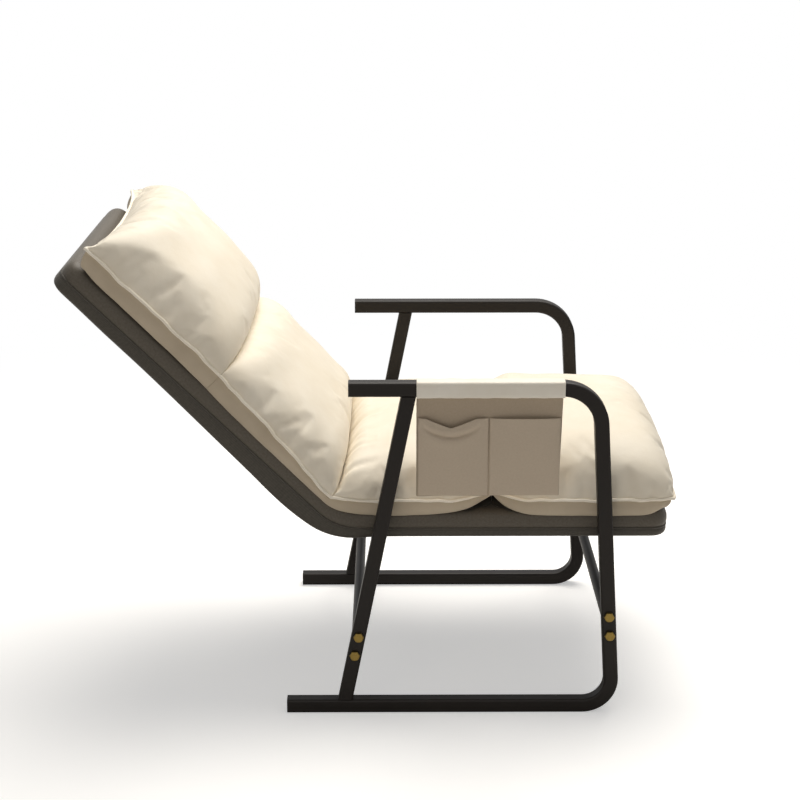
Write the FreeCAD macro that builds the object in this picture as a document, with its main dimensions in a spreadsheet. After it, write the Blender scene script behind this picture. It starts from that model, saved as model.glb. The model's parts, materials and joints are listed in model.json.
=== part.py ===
import FreeCAD, Part
import math
import os
import re
import Sketcher
from FreeCAD import Placement, Rotation, Vector

# Folding reclining chair: two bent tube sides, a padded seat, a padded back on ratchet hinges
# and a sewn mattress. X points forward, Y to the sitter's left, Z up, origin on the floor.

os.makedirs("parts", exist_ok=True)
doc = FreeCAD.newDocument("folding_reclining_chair")
sheet = doc.addObject("Spreadsheet::Sheet", "Sizes")

# Driving sizes in millimetres and degrees
SIZES = [
    ("origin_rear", 150.567, "origin to the rear end of the runners"),
    ("frame_tube", 25.0, "side frame tube, square, outside"),
    ("frame_wall", 1.5, "side frame tube wall"),
    ("frame_corner", 4.0, "outside corner radius of the square tube"),
    ("frame_spacing", 565.0, "between the middle planes of the side frames"),
    ("runner_span", 579.0, "runner rear end to the front leg axis, on the runner axis"),
    ("leg_lean", 3.9, "backward lean of the front leg"),
    ("foot_bend", 50.0, "axis radius of the bend at the floor"),
    ("arm_bend", 68.0, "axis radius of the bend at the armrest"),
    ("arm_height", 614.0, "floor to the top of the armrest"),
    ("arm_rear", 114.0, "runner rear end to the armrest rear end"),
    ("strut_foot", 104.0, "runner rear end to the strut axis, on top of the runner"),
    ("strut_head", 215.5, "runner rear end to the strut axis, under the armrest"),
    ("plug_cap", 2.5, "thickness of an end plug's cap"),
    ("plug_depth", 15.0, "depth of an end plug in the tube"),
    ("front_bar_height", 168.5, "floor to the front crossbar axis"),
    ("rear_bar_height", 131.0, "floor to the rear crossbar axis"),
    ("bar_tube", 19.0, "crossbar tube diameter"),
    ("bar_wall", 1.5, "crossbar tube wall"),
    ("bar_plate", 6.0, "thickness of the crossbar end plates"),
    ("bar_plate_width", 22.0, "width of the crossbar end plates"),
    ("bolt_edge", 12.0, "bolt axis to the end of the crossbar plate"),
    ("bolt_pitch", 36.0, "between the two bolts of a crossbar plate"),
    ("bolt_size", 10.0, "crossbar bolt diameter"),
    ("bolt_across", 16.0, "crossbar bolt head across flats"),
    ("bolt_head", 6.4, "crossbar bolt head height"),
    ("hole_gap", 0.1, "radial clearance of bolts and screws in their holes"),
    ("run_gap", 0.05, "running clearance of pivots and washers"),
    ("soft_gap", 0.3, "clearance of upholstery from its neighbours"),
    ("hinge_rear", 92.4, "runner rear end to the backrest hinge axis"),
    ("hinge_height", 346.5, "floor to the backrest hinge axis"),
    ("rest_recline", 45.0, "backrest lifted above flat, at rest"),
    ("pad_thick", 50.0, "thickness of the seat and back pads"),
    ("pad_edge", 20.0, "edge rounding of the pads"),
    ("back_fill", 10.0, "back pad thicker than the seat pad, on its outer side"),
    ("fill_taper", 60.0, "length over which the back pad thins towards the bend"),
    ("side_gap", 12.0, "pads to the inner faces of the side frames"),
    ("hinge_gap", 58.0, "hinge axis to the near ends of the pads"),
    ("seat_depth", 574.6, "hinge axis to the front end of the seat pad"),
    ("back_length", 642.6, "hinge axis to the top end of the back pad"),
    ("bend_axis", 95.0, "middle radius of the upholstered bend at the hinge"),
    ("bend_wall", 3.0, "upholstery over the hinge, above and below it"),
    ("bend_corner", 5.0, "corner radius of the room for the hinge"),
    ("hinge_cover", 10.0, "upholstery outside the hinge pins"),
    ("inner_tube", 22.0, "seat and back frame tube diameter"),
    ("inner_wall", 1.5, "seat and back frame tube wall"),
    ("inner_bend", 60.0, "axis radius of the seat and back frame bends"),
    ("inner_start", 4.0, "pad end to the end of the frame tube"),
    ("inner_cover", 32.0, "frame tube axis to the far end of a pad"),
    ("hinge_plate", 4.0, "hinge plate thickness"),
    ("hinge_plate_width", 25.0, "hinge plate width"),
    ("hinge_plate_reach", 112.0, "hinge axis to the far end of a hinge plate"),
    ("hinge_pin", 8.0, "hinge pin diameter"),
    ("pin_head", 2.0, "height of the hinge pin heads"),
    ("pin_head_size", 14.0, "diameter of the hinge pin heads"),
    ("washer", 1.0, "thickness of the hinge washers"),
    ("ratchet_radius", 12.5, "outside radius of the notched edge"),
    ("notch_depth", 2.0, "depth of a notch"),
    ("notch_width", 2.0, "width of a notch"),
    ("notch_pitch", 16.0, "angle between two notches"),
    ("notch_play", 0.45, "side clearance of the pawl tooth in a notch"),
    ("pawl_reach", 18.0, "pawl pivot to the tooth, along the pawl"),
    ("pawl_width", 5.0, "width of the pawl arm"),
    ("pawl_clear", 0.5, "pawl arm to the ratchet, and tooth tip to the notch floor"),
    ("pawl_lean", -5.0, "direction of the pawl pivot seen from the hinge axis"),
    ("pawl_pin", 4.0, "pawl pin diameter"),
    ("spring_leaf", 0.8, "thickness of the pawl's leaf spring"),
    ("spring_post", 4.0, "diameter of the post that holds the leaf spring"),
    ("lug_thick", 4.0, "seat lug thickness"),
    ("lug_width", 16.0, "seat lug width"),
    ("lug_drop", 30.0, "height of a seat lug's welded flange"),
    ("lug_edge", 11.0, "seat screw to the free end of a lug"),
    ("lug_shift", -1.0, "rear lugs forward of the strut axis"),
    ("screw_size", 8.0, "seat screw diameter"),
    ("screw_across", 13.0, "seat screw head across flats"),
    ("screw_head", 5.3, "seat screw head height"),
    ("screw_entry", 6.0, "seat screw inside the seat frame tube"),
    ("cushion_overhang", 6.0, "mattress beyond the sides of the pads"),
    ("piping_rise", 24.0, "pad to the sewn edge of the mattress"),
    ("seat_split", 269.6, "hinge axis to the seam across the seat"),
    ("back_split", 329.6, "hinge axis to the seam between back and head"),
    ("front_overhang", 13.0, "mattress beyond the front end of the seat pad"),
    ("head_inset", 9.0, "mattress short of the top end of the back pad"),
    ("seat_rear_crown", 128.0, "crown of the rear seat lobe above the pad"),
    ("seat_front_crown", 134.0, "crown of the front seat lobe above the pad"),
    ("back_crown", 100.0, "crown of the back lobe above the pad"),
    ("head_crown", 138.0, "crown of the head lobe above the pad"),
    ("seam_depth", 42.0, "depth of the sewn channels below the crowns"),
    ("seam_pinch", 12.0, "sides drawn in at the seams"),
    ("lip_drop", 12.0, "mattress edge hanging below the top of the pads"),
    ("lip_bite", 1.0, "mattress lip inside and outside the pad's rounding, before it is cut"),
    ("end_corner", 14.0, "mattress corners drawn in at its free ends"),
    ("crease_lean", 74.0, "lean of the crease between back and seat lobes"),
    ("crease_ahead", 3.5, "crease forward of the hinge axis, on the pad"),
    ("pocket_after", 0.5, "pocket sleeve ahead of the strut's head"),
    ("pocket_length", 250.5, "length of the pocket sleeve"),
    ("cloth", 2.0, "pocket cloth thickness"),
    ("panel_inset", 2.5, "panel narrower than the sleeve, each end"),
    ("panel_drop", 175.0, "height of the hanging panel"),
    ("panel_out", 6.0, "panel face outside the armrest's middle plane"),
    ("pouch_depth", 8.0, "patch pockets out from the panel"),
    ("pouch_margin", 3.0, "patch pockets inside the panel's edge"),
    ("pouch_split", 6.0, "between the two patch pockets"),
    ("pouch_mouth", 33.0, "panel top to the mouths of the pockets"),
    ("pouch_notch", 16.0, "depth of the notch in the rear pocket's mouth"),
]
for row, (alias, value, note) in enumerate(SIZES, 1):
    sheet.set(f"A{row}", alias)
    sheet.set(f"B{row}", str(value))
    sheet.set(f"C{row}", note)
    sheet.setAlias(f"B{row}", alias)
doc.recompute()

ALIASES = re.compile(r"\b(" + "|".join(alias for alias, value, note in SIZES) + r")\b")

# Places that several pieces share, written in the sheet's names
LEG_X = "(runner_span - tan(leg_lean) * ({0} - frame_tube / 2))"
STRUT_SLOPE = "((strut_head - strut_foot) / (arm_height - 2 * frame_tube))"
STRUT_X = "(strut_foot + " + STRUT_SLOPE + " * ({0} - frame_tube))"
FRAME_IN = "(frame_spacing / 2 - frame_tube / 2)"
PAD_HALF = "(frame_spacing / 2 - frame_tube / 2 - side_gap)"
PLATE_OUT = "(" + PAD_HALF + " - hinge_cover - pin_head)"
PLATE_IN = "(" + PLATE_OUT + " - hinge_plate)"
RATCHET_OUT = "(" + PLATE_IN + " - washer - 2 * run_gap)"
RATCHET_IN = "(" + RATCHET_OUT + " - hinge_plate)"
SEAT_TUBE_Y = "(" + PLATE_IN + " - run_gap - inner_tube / 2)"
BACK_TUBE_Y = "(" + RATCHET_IN + " - run_gap - inner_tube / 2)"
SEAT_UNDER = "(hinge_height - pad_thick / 2)"
SCREW_FRONT = "(" + LEG_X.format(SEAT_UNDER) + " - hinge_rear)"
SCREW_REAR = "(" + STRUT_X.format(SEAT_UNDER) + " + lug_shift - hinge_rear)"
PAWL_DROP = "(pawl_width / 2 + ratchet_radius + pawl_clear)"
PAWL_OUT = "sqrt(pawl_reach * pawl_reach + " + PAWL_DROP + " * " + PAWL_DROP + ")"
PAWL_TURN = "(pawl_lean + 180 + atan(" + PAWL_DROP + " / pawl_reach) / 1 deg)"
SIDES = (("right", -1), ("left", 1))
NOTCHES_UP = 5
NOTCHES_DOWN = 2


def bound(text):
    """The expression with every size named in the sheet."""
    return ALIASES.sub(r"Sizes.\1", text)


def val(text):
    """The number an expression has now."""
    result = sheet.evalExpression(text)
    return float(getattr(result, "Value", result))


def bind(item, prop, text):
    """Tie a property to the sheet."""
    item.setExpression(prop, bound(text))


def place(item, x="0", y="0", z="0", turn=None):
    """Place a sub-part, turned about the Y axis."""
    if turn:
        item.Placement = Placement(Vector(0, 0, 0), Rotation(Vector(0, 1, 0), 30))
        bind(item, "Placement.Rotation.Angle", turn)
    bind(item, "Placement.Base.x", x + " - origin_rear")
    bind(item, "Placement.Base.y", y)
    bind(item, "Placement.Base.z", z)


def new_body(name, **where):
    """A new named body at its place."""
    item = doc.addObject("PartDesign::Body", name)
    item.Label = name
    place(item, **where)
    return item


def at_seat(name):
    """A body whose origin is the hinge axis, with the seat along X."""
    return new_body(name, x="hinge_rear", z="hinge_height")


def at_back(name):
    """A body whose origin is the hinge axis, with the backrest along its own -X."""
    return new_body(name, x="hinge_rear", z="hinge_height", turn="rest_recline")


def new_sketch(body, plane, offset=None):
    """A sketch on one of the body's own planes, moved along the plane's normal."""
    item = body.newObject("Sketcher::SketchObject", body.Name + "_sketch")
    support = [part for part in body.Origin.OriginFeatures if part.Role == plane + "_Plane"][0]
    item.AttachmentSupport = [(support, "")]
    item.MapMode = "FlatFace"
    if offset:
        bind(item, "AttachmentOffset.Base.z", offset)
    return item


def fix(sketch, geometry, end, corner):
    """Fix a sketch point at a place bound to the sheet."""
    for kind, axis, text in (("DistanceX", -2, corner[0]), ("DistanceY", -1, corner[1])):
        if text == "0":
            sketch.addConstraint(Sketcher.Constraint("PointOnObject", geometry, end, axis))
            continue
        number = sketch.addConstraint(Sketcher.Constraint(kind, -1, 1, geometry, end, val(text)))
        sketch.renameConstraint(number, f"size{number}")
        bind(sketch, f"Constraints.size{number}", text)


def size_arc(sketch, geometry, kind, text):
    """Bind the radius or diameter of an arc or circle."""
    number = sketch.addConstraint(Sketcher.Constraint(kind, geometry, val(text)))
    sketch.renameConstraint(number, f"size{number}")
    bind(sketch, f"Constraints.size{number}", text)


def draw_circle(sketch, x, y, diameter):
    """Draw a circle bound to the sheet."""
    shape = Part.Circle(Vector(val(x), val(y), 0), Vector(0, 0, 1), val(diameter) / 2)
    number = sketch.addGeometry(shape, False)
    fix(sketch, number, 3, (x, y))
    size_arc(sketch, number, "Diameter", diameter)


def draw_lines(sketch, corners, radii=None, closed=True):
    """Draw lines through the corners, rounded by tangent arcs where a radius is given."""
    count = len(corners)
    radii = radii or [None] * count
    points = [Vector(val(x), val(y), 0) for x, y in corners]
    enter = list(points)
    leave = list(points)
    arcs = {}
    for i, radius in enumerate(radii):
        if not radius:
            continue
        back = (points[i - 1] - points[i]).normalize()
        ahead = (points[(i + 1) % count] - points[i]).normalize()
        half = back.getAngle(ahead) / 2
        size = val(radius)
        enter[i] = points[i] + back * (size / math.tan(half))
        leave[i] = points[i] + ahead * (size / math.tan(half))
        centre = points[i] + (back + ahead).normalize() * (size / math.sin(half))
        left_turn = back.cross(ahead).z < 0
        first, last = (enter[i], leave[i]) if left_turn else (leave[i], enter[i])
        start = math.atan2(first.y - centre.y, first.x - centre.x)
        stop = math.atan2(last.y - centre.y, last.x - centre.x)
        if stop < start:
            stop += 2 * math.pi
        circle = Part.Circle(centre, Vector(0, 0, 1), size)
        arc = sketch.addGeometry(Part.ArcOfCircle(circle, start, stop), False)
        arcs[i] = (arc, 1 if left_turn else 2, 2 if left_turn else 1)
    lines = []
    for i in range(count if closed else count - 1):
        line = Part.LineSegment(leave[i], enter[(i + 1) % count])
        lines.append(sketch.addGeometry(line, False))
    for i, radius in enumerate(radii):
        after = lines[i] if i < len(lines) else None
        before = lines[i - 1] if closed or i > 0 else None
        if radius:
            arc, arc_start, arc_end = arcs[i]
            mark = sketch.addGeometry(Part.Point(points[i]), True)
            sketch.addConstraint(Sketcher.Constraint("Tangent", before, 2, arc, arc_start))
            sketch.addConstraint(Sketcher.Constraint("Tangent", arc, arc_end, after, 1))
            sketch.addConstraint(Sketcher.Constraint("PointOnObject", mark, 1, before))
            sketch.addConstraint(Sketcher.Constraint("PointOnObject", mark, 1, after))
            fix(sketch, mark, 1, corners[i])
            size_arc(sketch, arc, "Radius", radius)
        elif before is None:
            fix(sketch, after, 1, corners[i])
        elif after is None:
            fix(sketch, before, 2, corners[i])
        else:
            sketch.addConstraint(Sketcher.Constraint("Coincident", before, 2, after, 1))
            fix(sketch, after, 1, corners[i])


def rectangle(x_low, x_high, y_low, y_high):
    """The four corners of a rectangle, counter-clockwise."""
    return [(x_low, y_low), (x_high, y_low), (x_high, y_high), (x_low, y_high)]


def pad(body, sketch, length, both=False):
    """Extrude a sketch along its plane's normal."""
    item = body.newObject("PartDesign::Pad", body.Name + "_pad")
    item.Profile = sketch
    item.SideType = "Symmetric" if both else "One side"
    bind(item, "Length", length)
    return item


def pocket(body, sketch, length=None, forward=False):
    """Cut a sketch against its plane's normal, along it, or right through both ways."""
    item = body.newObject("PartDesign::Pocket", body.Name + "_pocket")
    item.Profile = sketch
    if length:
        bind(item, "Length", length)
        item.Reversed = forward
    else:
        item.SideType = "Symmetric"
        item.Type = "ThroughAll"
    return item


def pipe(body, profile, path, edges, cut=False):
    """Sweep a profile along a path, as material or as a cut."""
    kind = "PartDesign::SubtractivePipe" if cut else "PartDesign::AdditivePipe"
    item = body.newObject(kind, body.Name + "_pipe")
    item.Profile = profile
    item.Spine = (path, [f"Edge{number}" for number in range(1, edges + 1)])
    return item


def fillet(body, feature, radius, chosen):
    """Round the edges of a feature that a test picks out."""
    doc.recompute()
    names = [f"Edge{i}" for i, edge in enumerate(feature.Shape.Edges, 1) if chosen(edge)]
    item = body.newObject("PartDesign::Fillet", body.Name + "_fillet")
    item.Base = (feature, names)
    bind(item, "Radius", radius)
    return item


def group(name, solids, **where):
    """Several alike solids under one name."""
    item = doc.addObject("Part::Feature", name)
    item.Label = name
    item.Shape = Part.makeCompound(solids)
    place(item, **where)
    return item


def single(name, solid, **where):
    """One computed solid under its name."""
    item = doc.addObject("Part::Feature", name)
    item.Label = name
    item.Shape = solid
    place(item, **where)
    return item


# Side frames: one square tube bent into runner, front leg and armrest
def bolt_places(axis_x, height, lean, low_sign):
    """The two bolt axes of a crossbar, along the leg that it is bolted to."""
    step_x = f"{low_sign} * sin({lean}) * bolt_pitch / 2"
    step_z = f"cos({lean}) * bolt_pitch / 2"
    return [
        (f"{axis_x} + {step_x}", f"{height} + {step_z}"),
        (f"{axis_x} - ({step_x})", f"{height} - {step_z}"),
    ]


FRONT_AXIS = LEG_X.format("front_bar_height")
REAR_AXIS = STRUT_X.format("rear_bar_height")
STRUT_LEAN = "(atan(" + STRUT_SLOPE + ") / 1 deg)"
FRONT_BOLTS = bolt_places(FRONT_AXIS, "front_bar_height", "leg_lean", "-1")
REAR_BOLTS = bolt_places(REAR_AXIS, "rear_bar_height", STRUT_LEAN, "1")

for side, sign in SIDES:
    frame = new_body(f"side_frame_{side}", y=f"{sign} * frame_spacing / 2")
    section = new_sketch(frame, "YZ", "plug_cap")
    half = "frame_tube / 2"
    bore = "frame_tube / 2 - frame_wall"
    outer = rectangle("-" + half, half, "0", "frame_tube")
    inner = rectangle(f"-({bore})", bore, "frame_wall", "frame_tube - frame_wall")
    draw_lines(section, outer, ["frame_corner"] * 4)
    draw_lines(section, inner, ["frame_corner - frame_wall"] * 4)
    axis = new_sketch(frame, "XZ")
    top = "arm_height - frame_tube / 2"
    route = [
        ("plug_cap", half),
        ("runner_span", half),
        (LEG_X.format(f"({top})"), top),
        ("arm_rear + plug_cap", top),
    ]
    draw_lines(axis, route, [None, "foot_bend", "arm_bend", None], closed=False)
    pipe(frame, section, axis, 5)
    holes = new_sketch(frame, "XZ")
    for x, z in FRONT_BOLTS:
        draw_circle(holes, x, z, "bolt_size + 2 * hole_gap")
    pocket(frame, holes)

# Rear struts: straight square tube cut to the slopes of runner and armrest
STRUT_HALF = "(frame_tube / 2 / cos" + STRUT_LEAN + ")"
STRUT_BORE = "((frame_tube / 2 - frame_wall) / cos" + STRUT_LEAN + ")"


def strut_outline(reach):
    """The strut's slanted outline between runner and armrest."""
    head = "arm_height - frame_tube"
    return [
        (f"strut_foot - {reach}", "frame_tube"),
        (f"strut_foot + {reach}", "frame_tube"),
        (f"strut_head + {reach}", head),
        (f"strut_head - {reach}", head),
    ]


for side, sign in SIDES:
    strut = new_body(f"rear_strut_{side}", y=f"{sign} * frame_spacing / 2")
    outline = new_sketch(strut, "XZ")
    draw_lines(outline, strut_outline(STRUT_HALF))
    bar = pad(strut, outline, "frame_tube", both=True)
    rise = val("(arm_height - 2 * frame_tube) / 2")
    bar = fillet(strut, bar, "frame_corner", lambda edge: edge.Length > rise)
    hollow = new_sketch(strut, "XZ")
    draw_lines(hollow, strut_outline(STRUT_BORE))
    cut = pocket(strut, hollow, "frame_tube - 2 * frame_wall")
    cut.SideType = "Symmetric"
    holes = new_sketch(strut, "XZ")
    for x, z in REAR_BOLTS:
        draw_circle(holes, x, z, "bolt_size + 2 * hole_gap")
    pocket(strut, holes)

# Crossbars: round tube with a tapped plate at each end
BAR_PLACES = (
    ("front_crossbar", FRONT_AXIS, "front_bar_height", "-leg_lean"),
    ("rear_crossbar", REAR_AXIS, "rear_bar_height", STRUT_LEAN),
)
for name, axis_x, height, lean in BAR_PLACES:
    bar = new_body(name, x=axis_x, z=height, turn=lean)
    ring = new_sketch(bar, "XZ")
    draw_circle(ring, "0", "0", "bar_tube")
    draw_circle(ring, "0", "0", "bar_tube - 2 * bar_wall")
    pad(bar, ring, f"2 * {FRAME_IN} - 2 * bar_plate", both=True)
    for offset in (f"{FRAME_IN} - bar_plate", f"-{FRAME_IN}"):
        plate = new_sketch(bar, "XZ", offset)
        wide = "bar_plate_width / 2"
        tall = "(bolt_pitch / 2 + bolt_edge)"
        draw_lines(plate, rectangle("-" + wide, wide, "-" + tall, tall), ["bolt_edge / 2"] * 4)
        draw_circle(plate, "0", "bolt_pitch / 2", "bolt_size + 2 * hole_gap")
        draw_circle(plate, "0", "-bolt_pitch / 2", "bolt_size + 2 * hole_gap")
        pad(bar, plate, "bar_plate")


# Crossbar bolts: hexagon heads outside the legs, shanks ending in the tapped plates
def hex_prism(across, height):
    """A hexagonal head standing on the XY plane, its rim chamfered all round."""
    radius = across / 2 / math.cos(math.radians(30))
    turns = [math.radians(60 * i) for i in range(7)]
    points = [Vector(radius * math.cos(a), radius * math.sin(a), 0) for a in turns]
    prism = Part.Face(Part.makePolygon(points)).extrude(Vector(0, 0, height))
    cone = Part.makeCone(across / 2 + height, across / 2 * 0.94, height + across * 0.03)
    return prism.common(cone.translate(Vector(0, 0, -across * 0.03)))


def bolt(across, head, size, length):
    """A bolt with its head's seat on the XY plane and its shank along -Z."""
    shank = Part.makeCylinder(size / 2, length, Vector(0, 0, -length))
    return hex_prism(across, head).fuse(shank).removeSplitter()


one_bolt = bolt(val("bolt_across"), val("bolt_head"), val("bolt_size"),
                val("frame_tube + bar_plate"))
bolt_set = []
for side, sign in SIDES:
    for x, z in FRONT_BOLTS + REAR_BOLTS:
        seat = Vector(val(x), sign * val("frame_spacing / 2 + frame_tube / 2"), val(z))
        aim = Rotation(Vector(0, 0, 1), Vector(0, sign, 0))
        copy = one_bolt.copy()
        copy.Placement = Placement(seat, aim)
        bolt_set.append(copy)
group("crossbar_bolts", bolt_set)

# End plugs: a cap on each open tube end with a hollow stem inside the tube
def square_bar(side, corner, length, start):
    """A square bar along X with rounded long edges."""
    bar = Part.makeBox(length, side, side, Vector(start, -side / 2, -side / 2))
    return bar.makeFillet(corner, [edge for edge in bar.Edges if abs(edge.tangentAt(0).x) > 0.9])


tube, wall, cap = val("frame_tube"), val("frame_wall"), val("plug_cap")
stem_side = tube - 2 * wall - 2 * val("hole_gap")
stem = square_bar(stem_side, val("frame_corner") - wall, val("plug_depth"), cap)
well = Part.makeBox(val("plug_depth"), stem_side - 2 * wall, stem_side - 2 * wall)
well.translate(Vector(cap + wall, wall - stem_side / 2, wall - stem_side / 2))
one_plug = square_bar(tube, val("frame_corner"), cap, 0).fuse(stem.cut(well)).removeSplitter()
plug_set = []
for side, sign in SIDES:
    for x, z in (("0", "frame_tube / 2"), ("arm_rear", "arm_height - frame_tube / 2")):
        copy = one_plug.copy()
        copy.Placement = Placement(Vector(val(x), sign * val("frame_spacing / 2"), val(z)), Rotation())
        plug_set.append(copy)
group("tube_end_plugs", plug_set)

# Seat lugs: angle tabs welded to the inner faces of legs and struts
LUG_PLACES = (SCREW_FRONT, SCREW_REAR)
lug_set = []
screw_set = []
lug_thick, lug_width = val("lug_thick"), val("lug_width")
lug_in = val(f"{SEAT_TUBE_Y} - lug_edge")
lug_out = val(FRAME_IN)
lug_top = val("-pad_thick / 2")
one_screw = bolt(val("screw_across"), val("screw_head"), val("screw_size"),
                 val("lug_thick + pad_thick / 2 - inner_tube / 2 + screw_entry"))
for side, sign in SIDES:
    for x in LUG_PLACES:
        low_y = min(sign * lug_in, sign * lug_out)
        flange_y = sign * lug_out if sign < 0 else lug_out - lug_thick
        start = val(x) - lug_width / 2
        shelf = Part.makeBox(lug_width, lug_out - lug_in, lug_thick,
                             Vector(start, low_y, lug_top - lug_thick))
        flange = Part.makeBox(lug_width, lug_thick, val("lug_drop"),
                              Vector(start, flange_y, lug_top - val("lug_drop")))
        screw_at = Vector(val(x), sign * val(SEAT_TUBE_Y), lug_top - lug_thick)
        hole = Part.makeCylinder(val("screw_size / 2 + hole_gap"), lug_thick, screw_at)
        lug_set.append(shelf.fuse(flange).cut(hole).removeSplitter())
        copy = one_screw.copy()
        copy.Placement = Placement(screw_at, Rotation(Vector(1, 0, 0), 180))
        screw_set.append(copy)
group("seat_lugs", lug_set, x="hinge_rear", z="hinge_height")
group("seat_screws", screw_set, x="hinge_rear", z="hinge_height")


# Seat and back frames: one round tube each, bent to a U inside its pad
def u_route(start, far, y, sign):
    """The U from the hinge end round the far end of a pad, along +X or -X."""
    return [
        (f"{sign} * ({start})", f"-{y}"),
        (f"{sign} * ({far})", f"-{y}"),
        (f"{sign} * ({far})", y),
        (f"{sign} * ({start})", y),
    ]


def u_tube(body, far, y, sign, diameters, start, cut):
    """Sweep circles along the U."""
    section = new_sketch(body, "YZ", f"{sign} * ({start})")
    for diameter in diameters:
        draw_circle(section, f"-{y}", "0", diameter)
    axis = new_sketch(body, "XY")
    rounds = [None, "inner_bend", "inner_bend", None]
    draw_lines(axis, u_route(start, far, y, sign), rounds, closed=False)
    return pipe(body, section, axis, 5, cut)


TUBE_BORE = ["inner_tube", "inner_tube - 2 * inner_wall"]
SEAT_FAR = "(seat_depth - inner_cover)"
BACK_FAR = "(back_length - inner_cover)"
seat_frame = at_seat("seat_frame")
u_tube(seat_frame, SEAT_FAR, SEAT_TUBE_Y, "1", TUBE_BORE, "hinge_gap + inner_start", False)
holes = new_sketch(seat_frame, "XY", "-inner_tube / 2 - inner_wall")
for x in LUG_PLACES:
    for y in (f"-{SEAT_TUBE_Y}", SEAT_TUBE_Y):
        draw_circle(holes, x, y, "screw_size + 2 * hole_gap")
pocket(seat_frame, holes, "inner_tube / 2 + inner_wall", forward=True)
back_frame = at_back("back_frame")
u_tube(back_frame, BACK_FAR, BACK_TUBE_Y, "-1", TUBE_BORE, "hinge_gap + inner_start", False)


# Hinge plates: plain plates on the seat frame, notched plates on the back frame
def on_side(sign, low, thick):
    """Sketch offset on the XZ plane for a plate whose inner face is low from the middle."""
    return low if sign < 0 else f"-({low}) - ({thick})"


PLATE_END = "hinge_plate_width / 2 - run_gap"
PLATE_ROUND = [PLATE_END, "hinge_plate", "hinge_plate", PLATE_END]
HALF_PLATE = "hinge_plate_width / 2"
PAWL_X = f"({PAWL_OUT} * cos(pawl_lean))"
PAWL_Z = f"({PAWL_OUT} * sin(pawl_lean))"
for side, sign in SIDES:
    plate = at_seat(f"seat_hinge_plate_{side}")
    outline = new_sketch(plate, "XZ", on_side(sign, PLATE_IN, "hinge_plate"))
    shape = rectangle("-" + HALF_PLATE, "hinge_plate_reach", "-" + HALF_PLATE, HALF_PLATE)
    draw_lines(outline, shape, PLATE_ROUND)
    draw_circle(outline, "0", "0", "hinge_pin + 2 * hole_gap")
    draw_circle(outline, PAWL_X, PAWL_Z, "pawl_pin + 2 * hole_gap")
    pad(plate, outline, "hinge_plate")

NOTCH_FIRST = f"({PAWL_TURN} + 90 + rest_recline - {NOTCHES_DOWN} * notch_pitch)"
for side, sign in SIDES:
    plate = at_back(f"back_hinge_plate_{side}")
    offset = on_side(sign, RATCHET_IN, "hinge_plate")
    disc = new_sketch(plate, "XZ", offset)
    draw_circle(disc, "0", "0", "2 * ratchet_radius")
    pad(plate, disc, "hinge_plate")
    arm = new_sketch(plate, "XZ", offset)
    neck = "(ratchet_radius / 2)"
    shoulder = "-(ratchet_radius * 2)"
    draw_lines(arm, [
        ("0", "-" + neck),
        ("0", neck),
        ("-ratchet_radius", neck),
        (shoulder, HALF_PLATE),
        ("-hinge_plate_reach", HALF_PLATE),
        ("-hinge_plate_reach", "-" + HALF_PLATE),
        (shoulder, "-" + HALF_PLATE),
        ("-ratchet_radius", "-" + neck),
    ])
    pad(plate, arm, "hinge_plate")
    notches = new_sketch(plate, "XZ", offset)
    for i in range(NOTCHES_UP + NOTCHES_DOWN + 1):
        turn = f"({NOTCH_FIRST} + {i} * notch_pitch)"
        shape = []
        for reach, across in (("low", -1), ("high", -1), ("high", 1), ("low", 1)):
            way = "-" if reach == "low" else "+"
            radius = f"(ratchet_radius {way} notch_depth)"
            shape.append((f"{radius} * cos{turn} - {across} * notch_width / 2 * sin{turn}",
                          f"{radius} * sin{turn} + {across} * notch_width / 2 * cos{turn}"))
        draw_lines(notches, shape)
    draw_circle(notches, "0", "0", "hinge_pin + 2 * run_gap")
    pocket(plate, notches, "hinge_plate", forward=True)

# Hinge pins and washers: headed pins through both plates of each hinge
pin_set = []
washer_set = []
for side, sign in SIDES:
    outer_face = sign * val(PLATE_OUT)
    inner_face = sign * val(f"{RATCHET_IN} - run_gap")
    axis = Vector(0, -sign, 0)
    outside, inside = Vector(0, outer_face, 0), Vector(0, inner_face, 0)
    head = Part.makeCylinder(val("pin_head_size / 2"), val("pin_head"), outside, -axis)
    shank = Part.makeCylinder(val("hinge_pin / 2"), abs(outer_face - inner_face), outside, axis)
    tail = Part.makeCylinder(val("pin_head_size / 2"), val("pin_head"), inside, axis)
    pin_set.append(head.fuse([shank, tail]).removeSplitter())
    washer_at = Vector(0, sign * val(f"{PLATE_IN} - run_gap"), 0)
    ring = Part.makeCylinder(val("pin_head_size / 2"), val("washer"), washer_at, axis)
    bore = Part.makeCylinder(val("hinge_pin / 2 + run_gap"), val("washer"), washer_at, axis)
    washer_set.append(ring.cut(bore))
group("hinge_pins", pin_set, x="hinge_rear", z="hinge_height")
group("hinge_washers", washer_set, x="hinge_rear", z="hinge_height")

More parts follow.
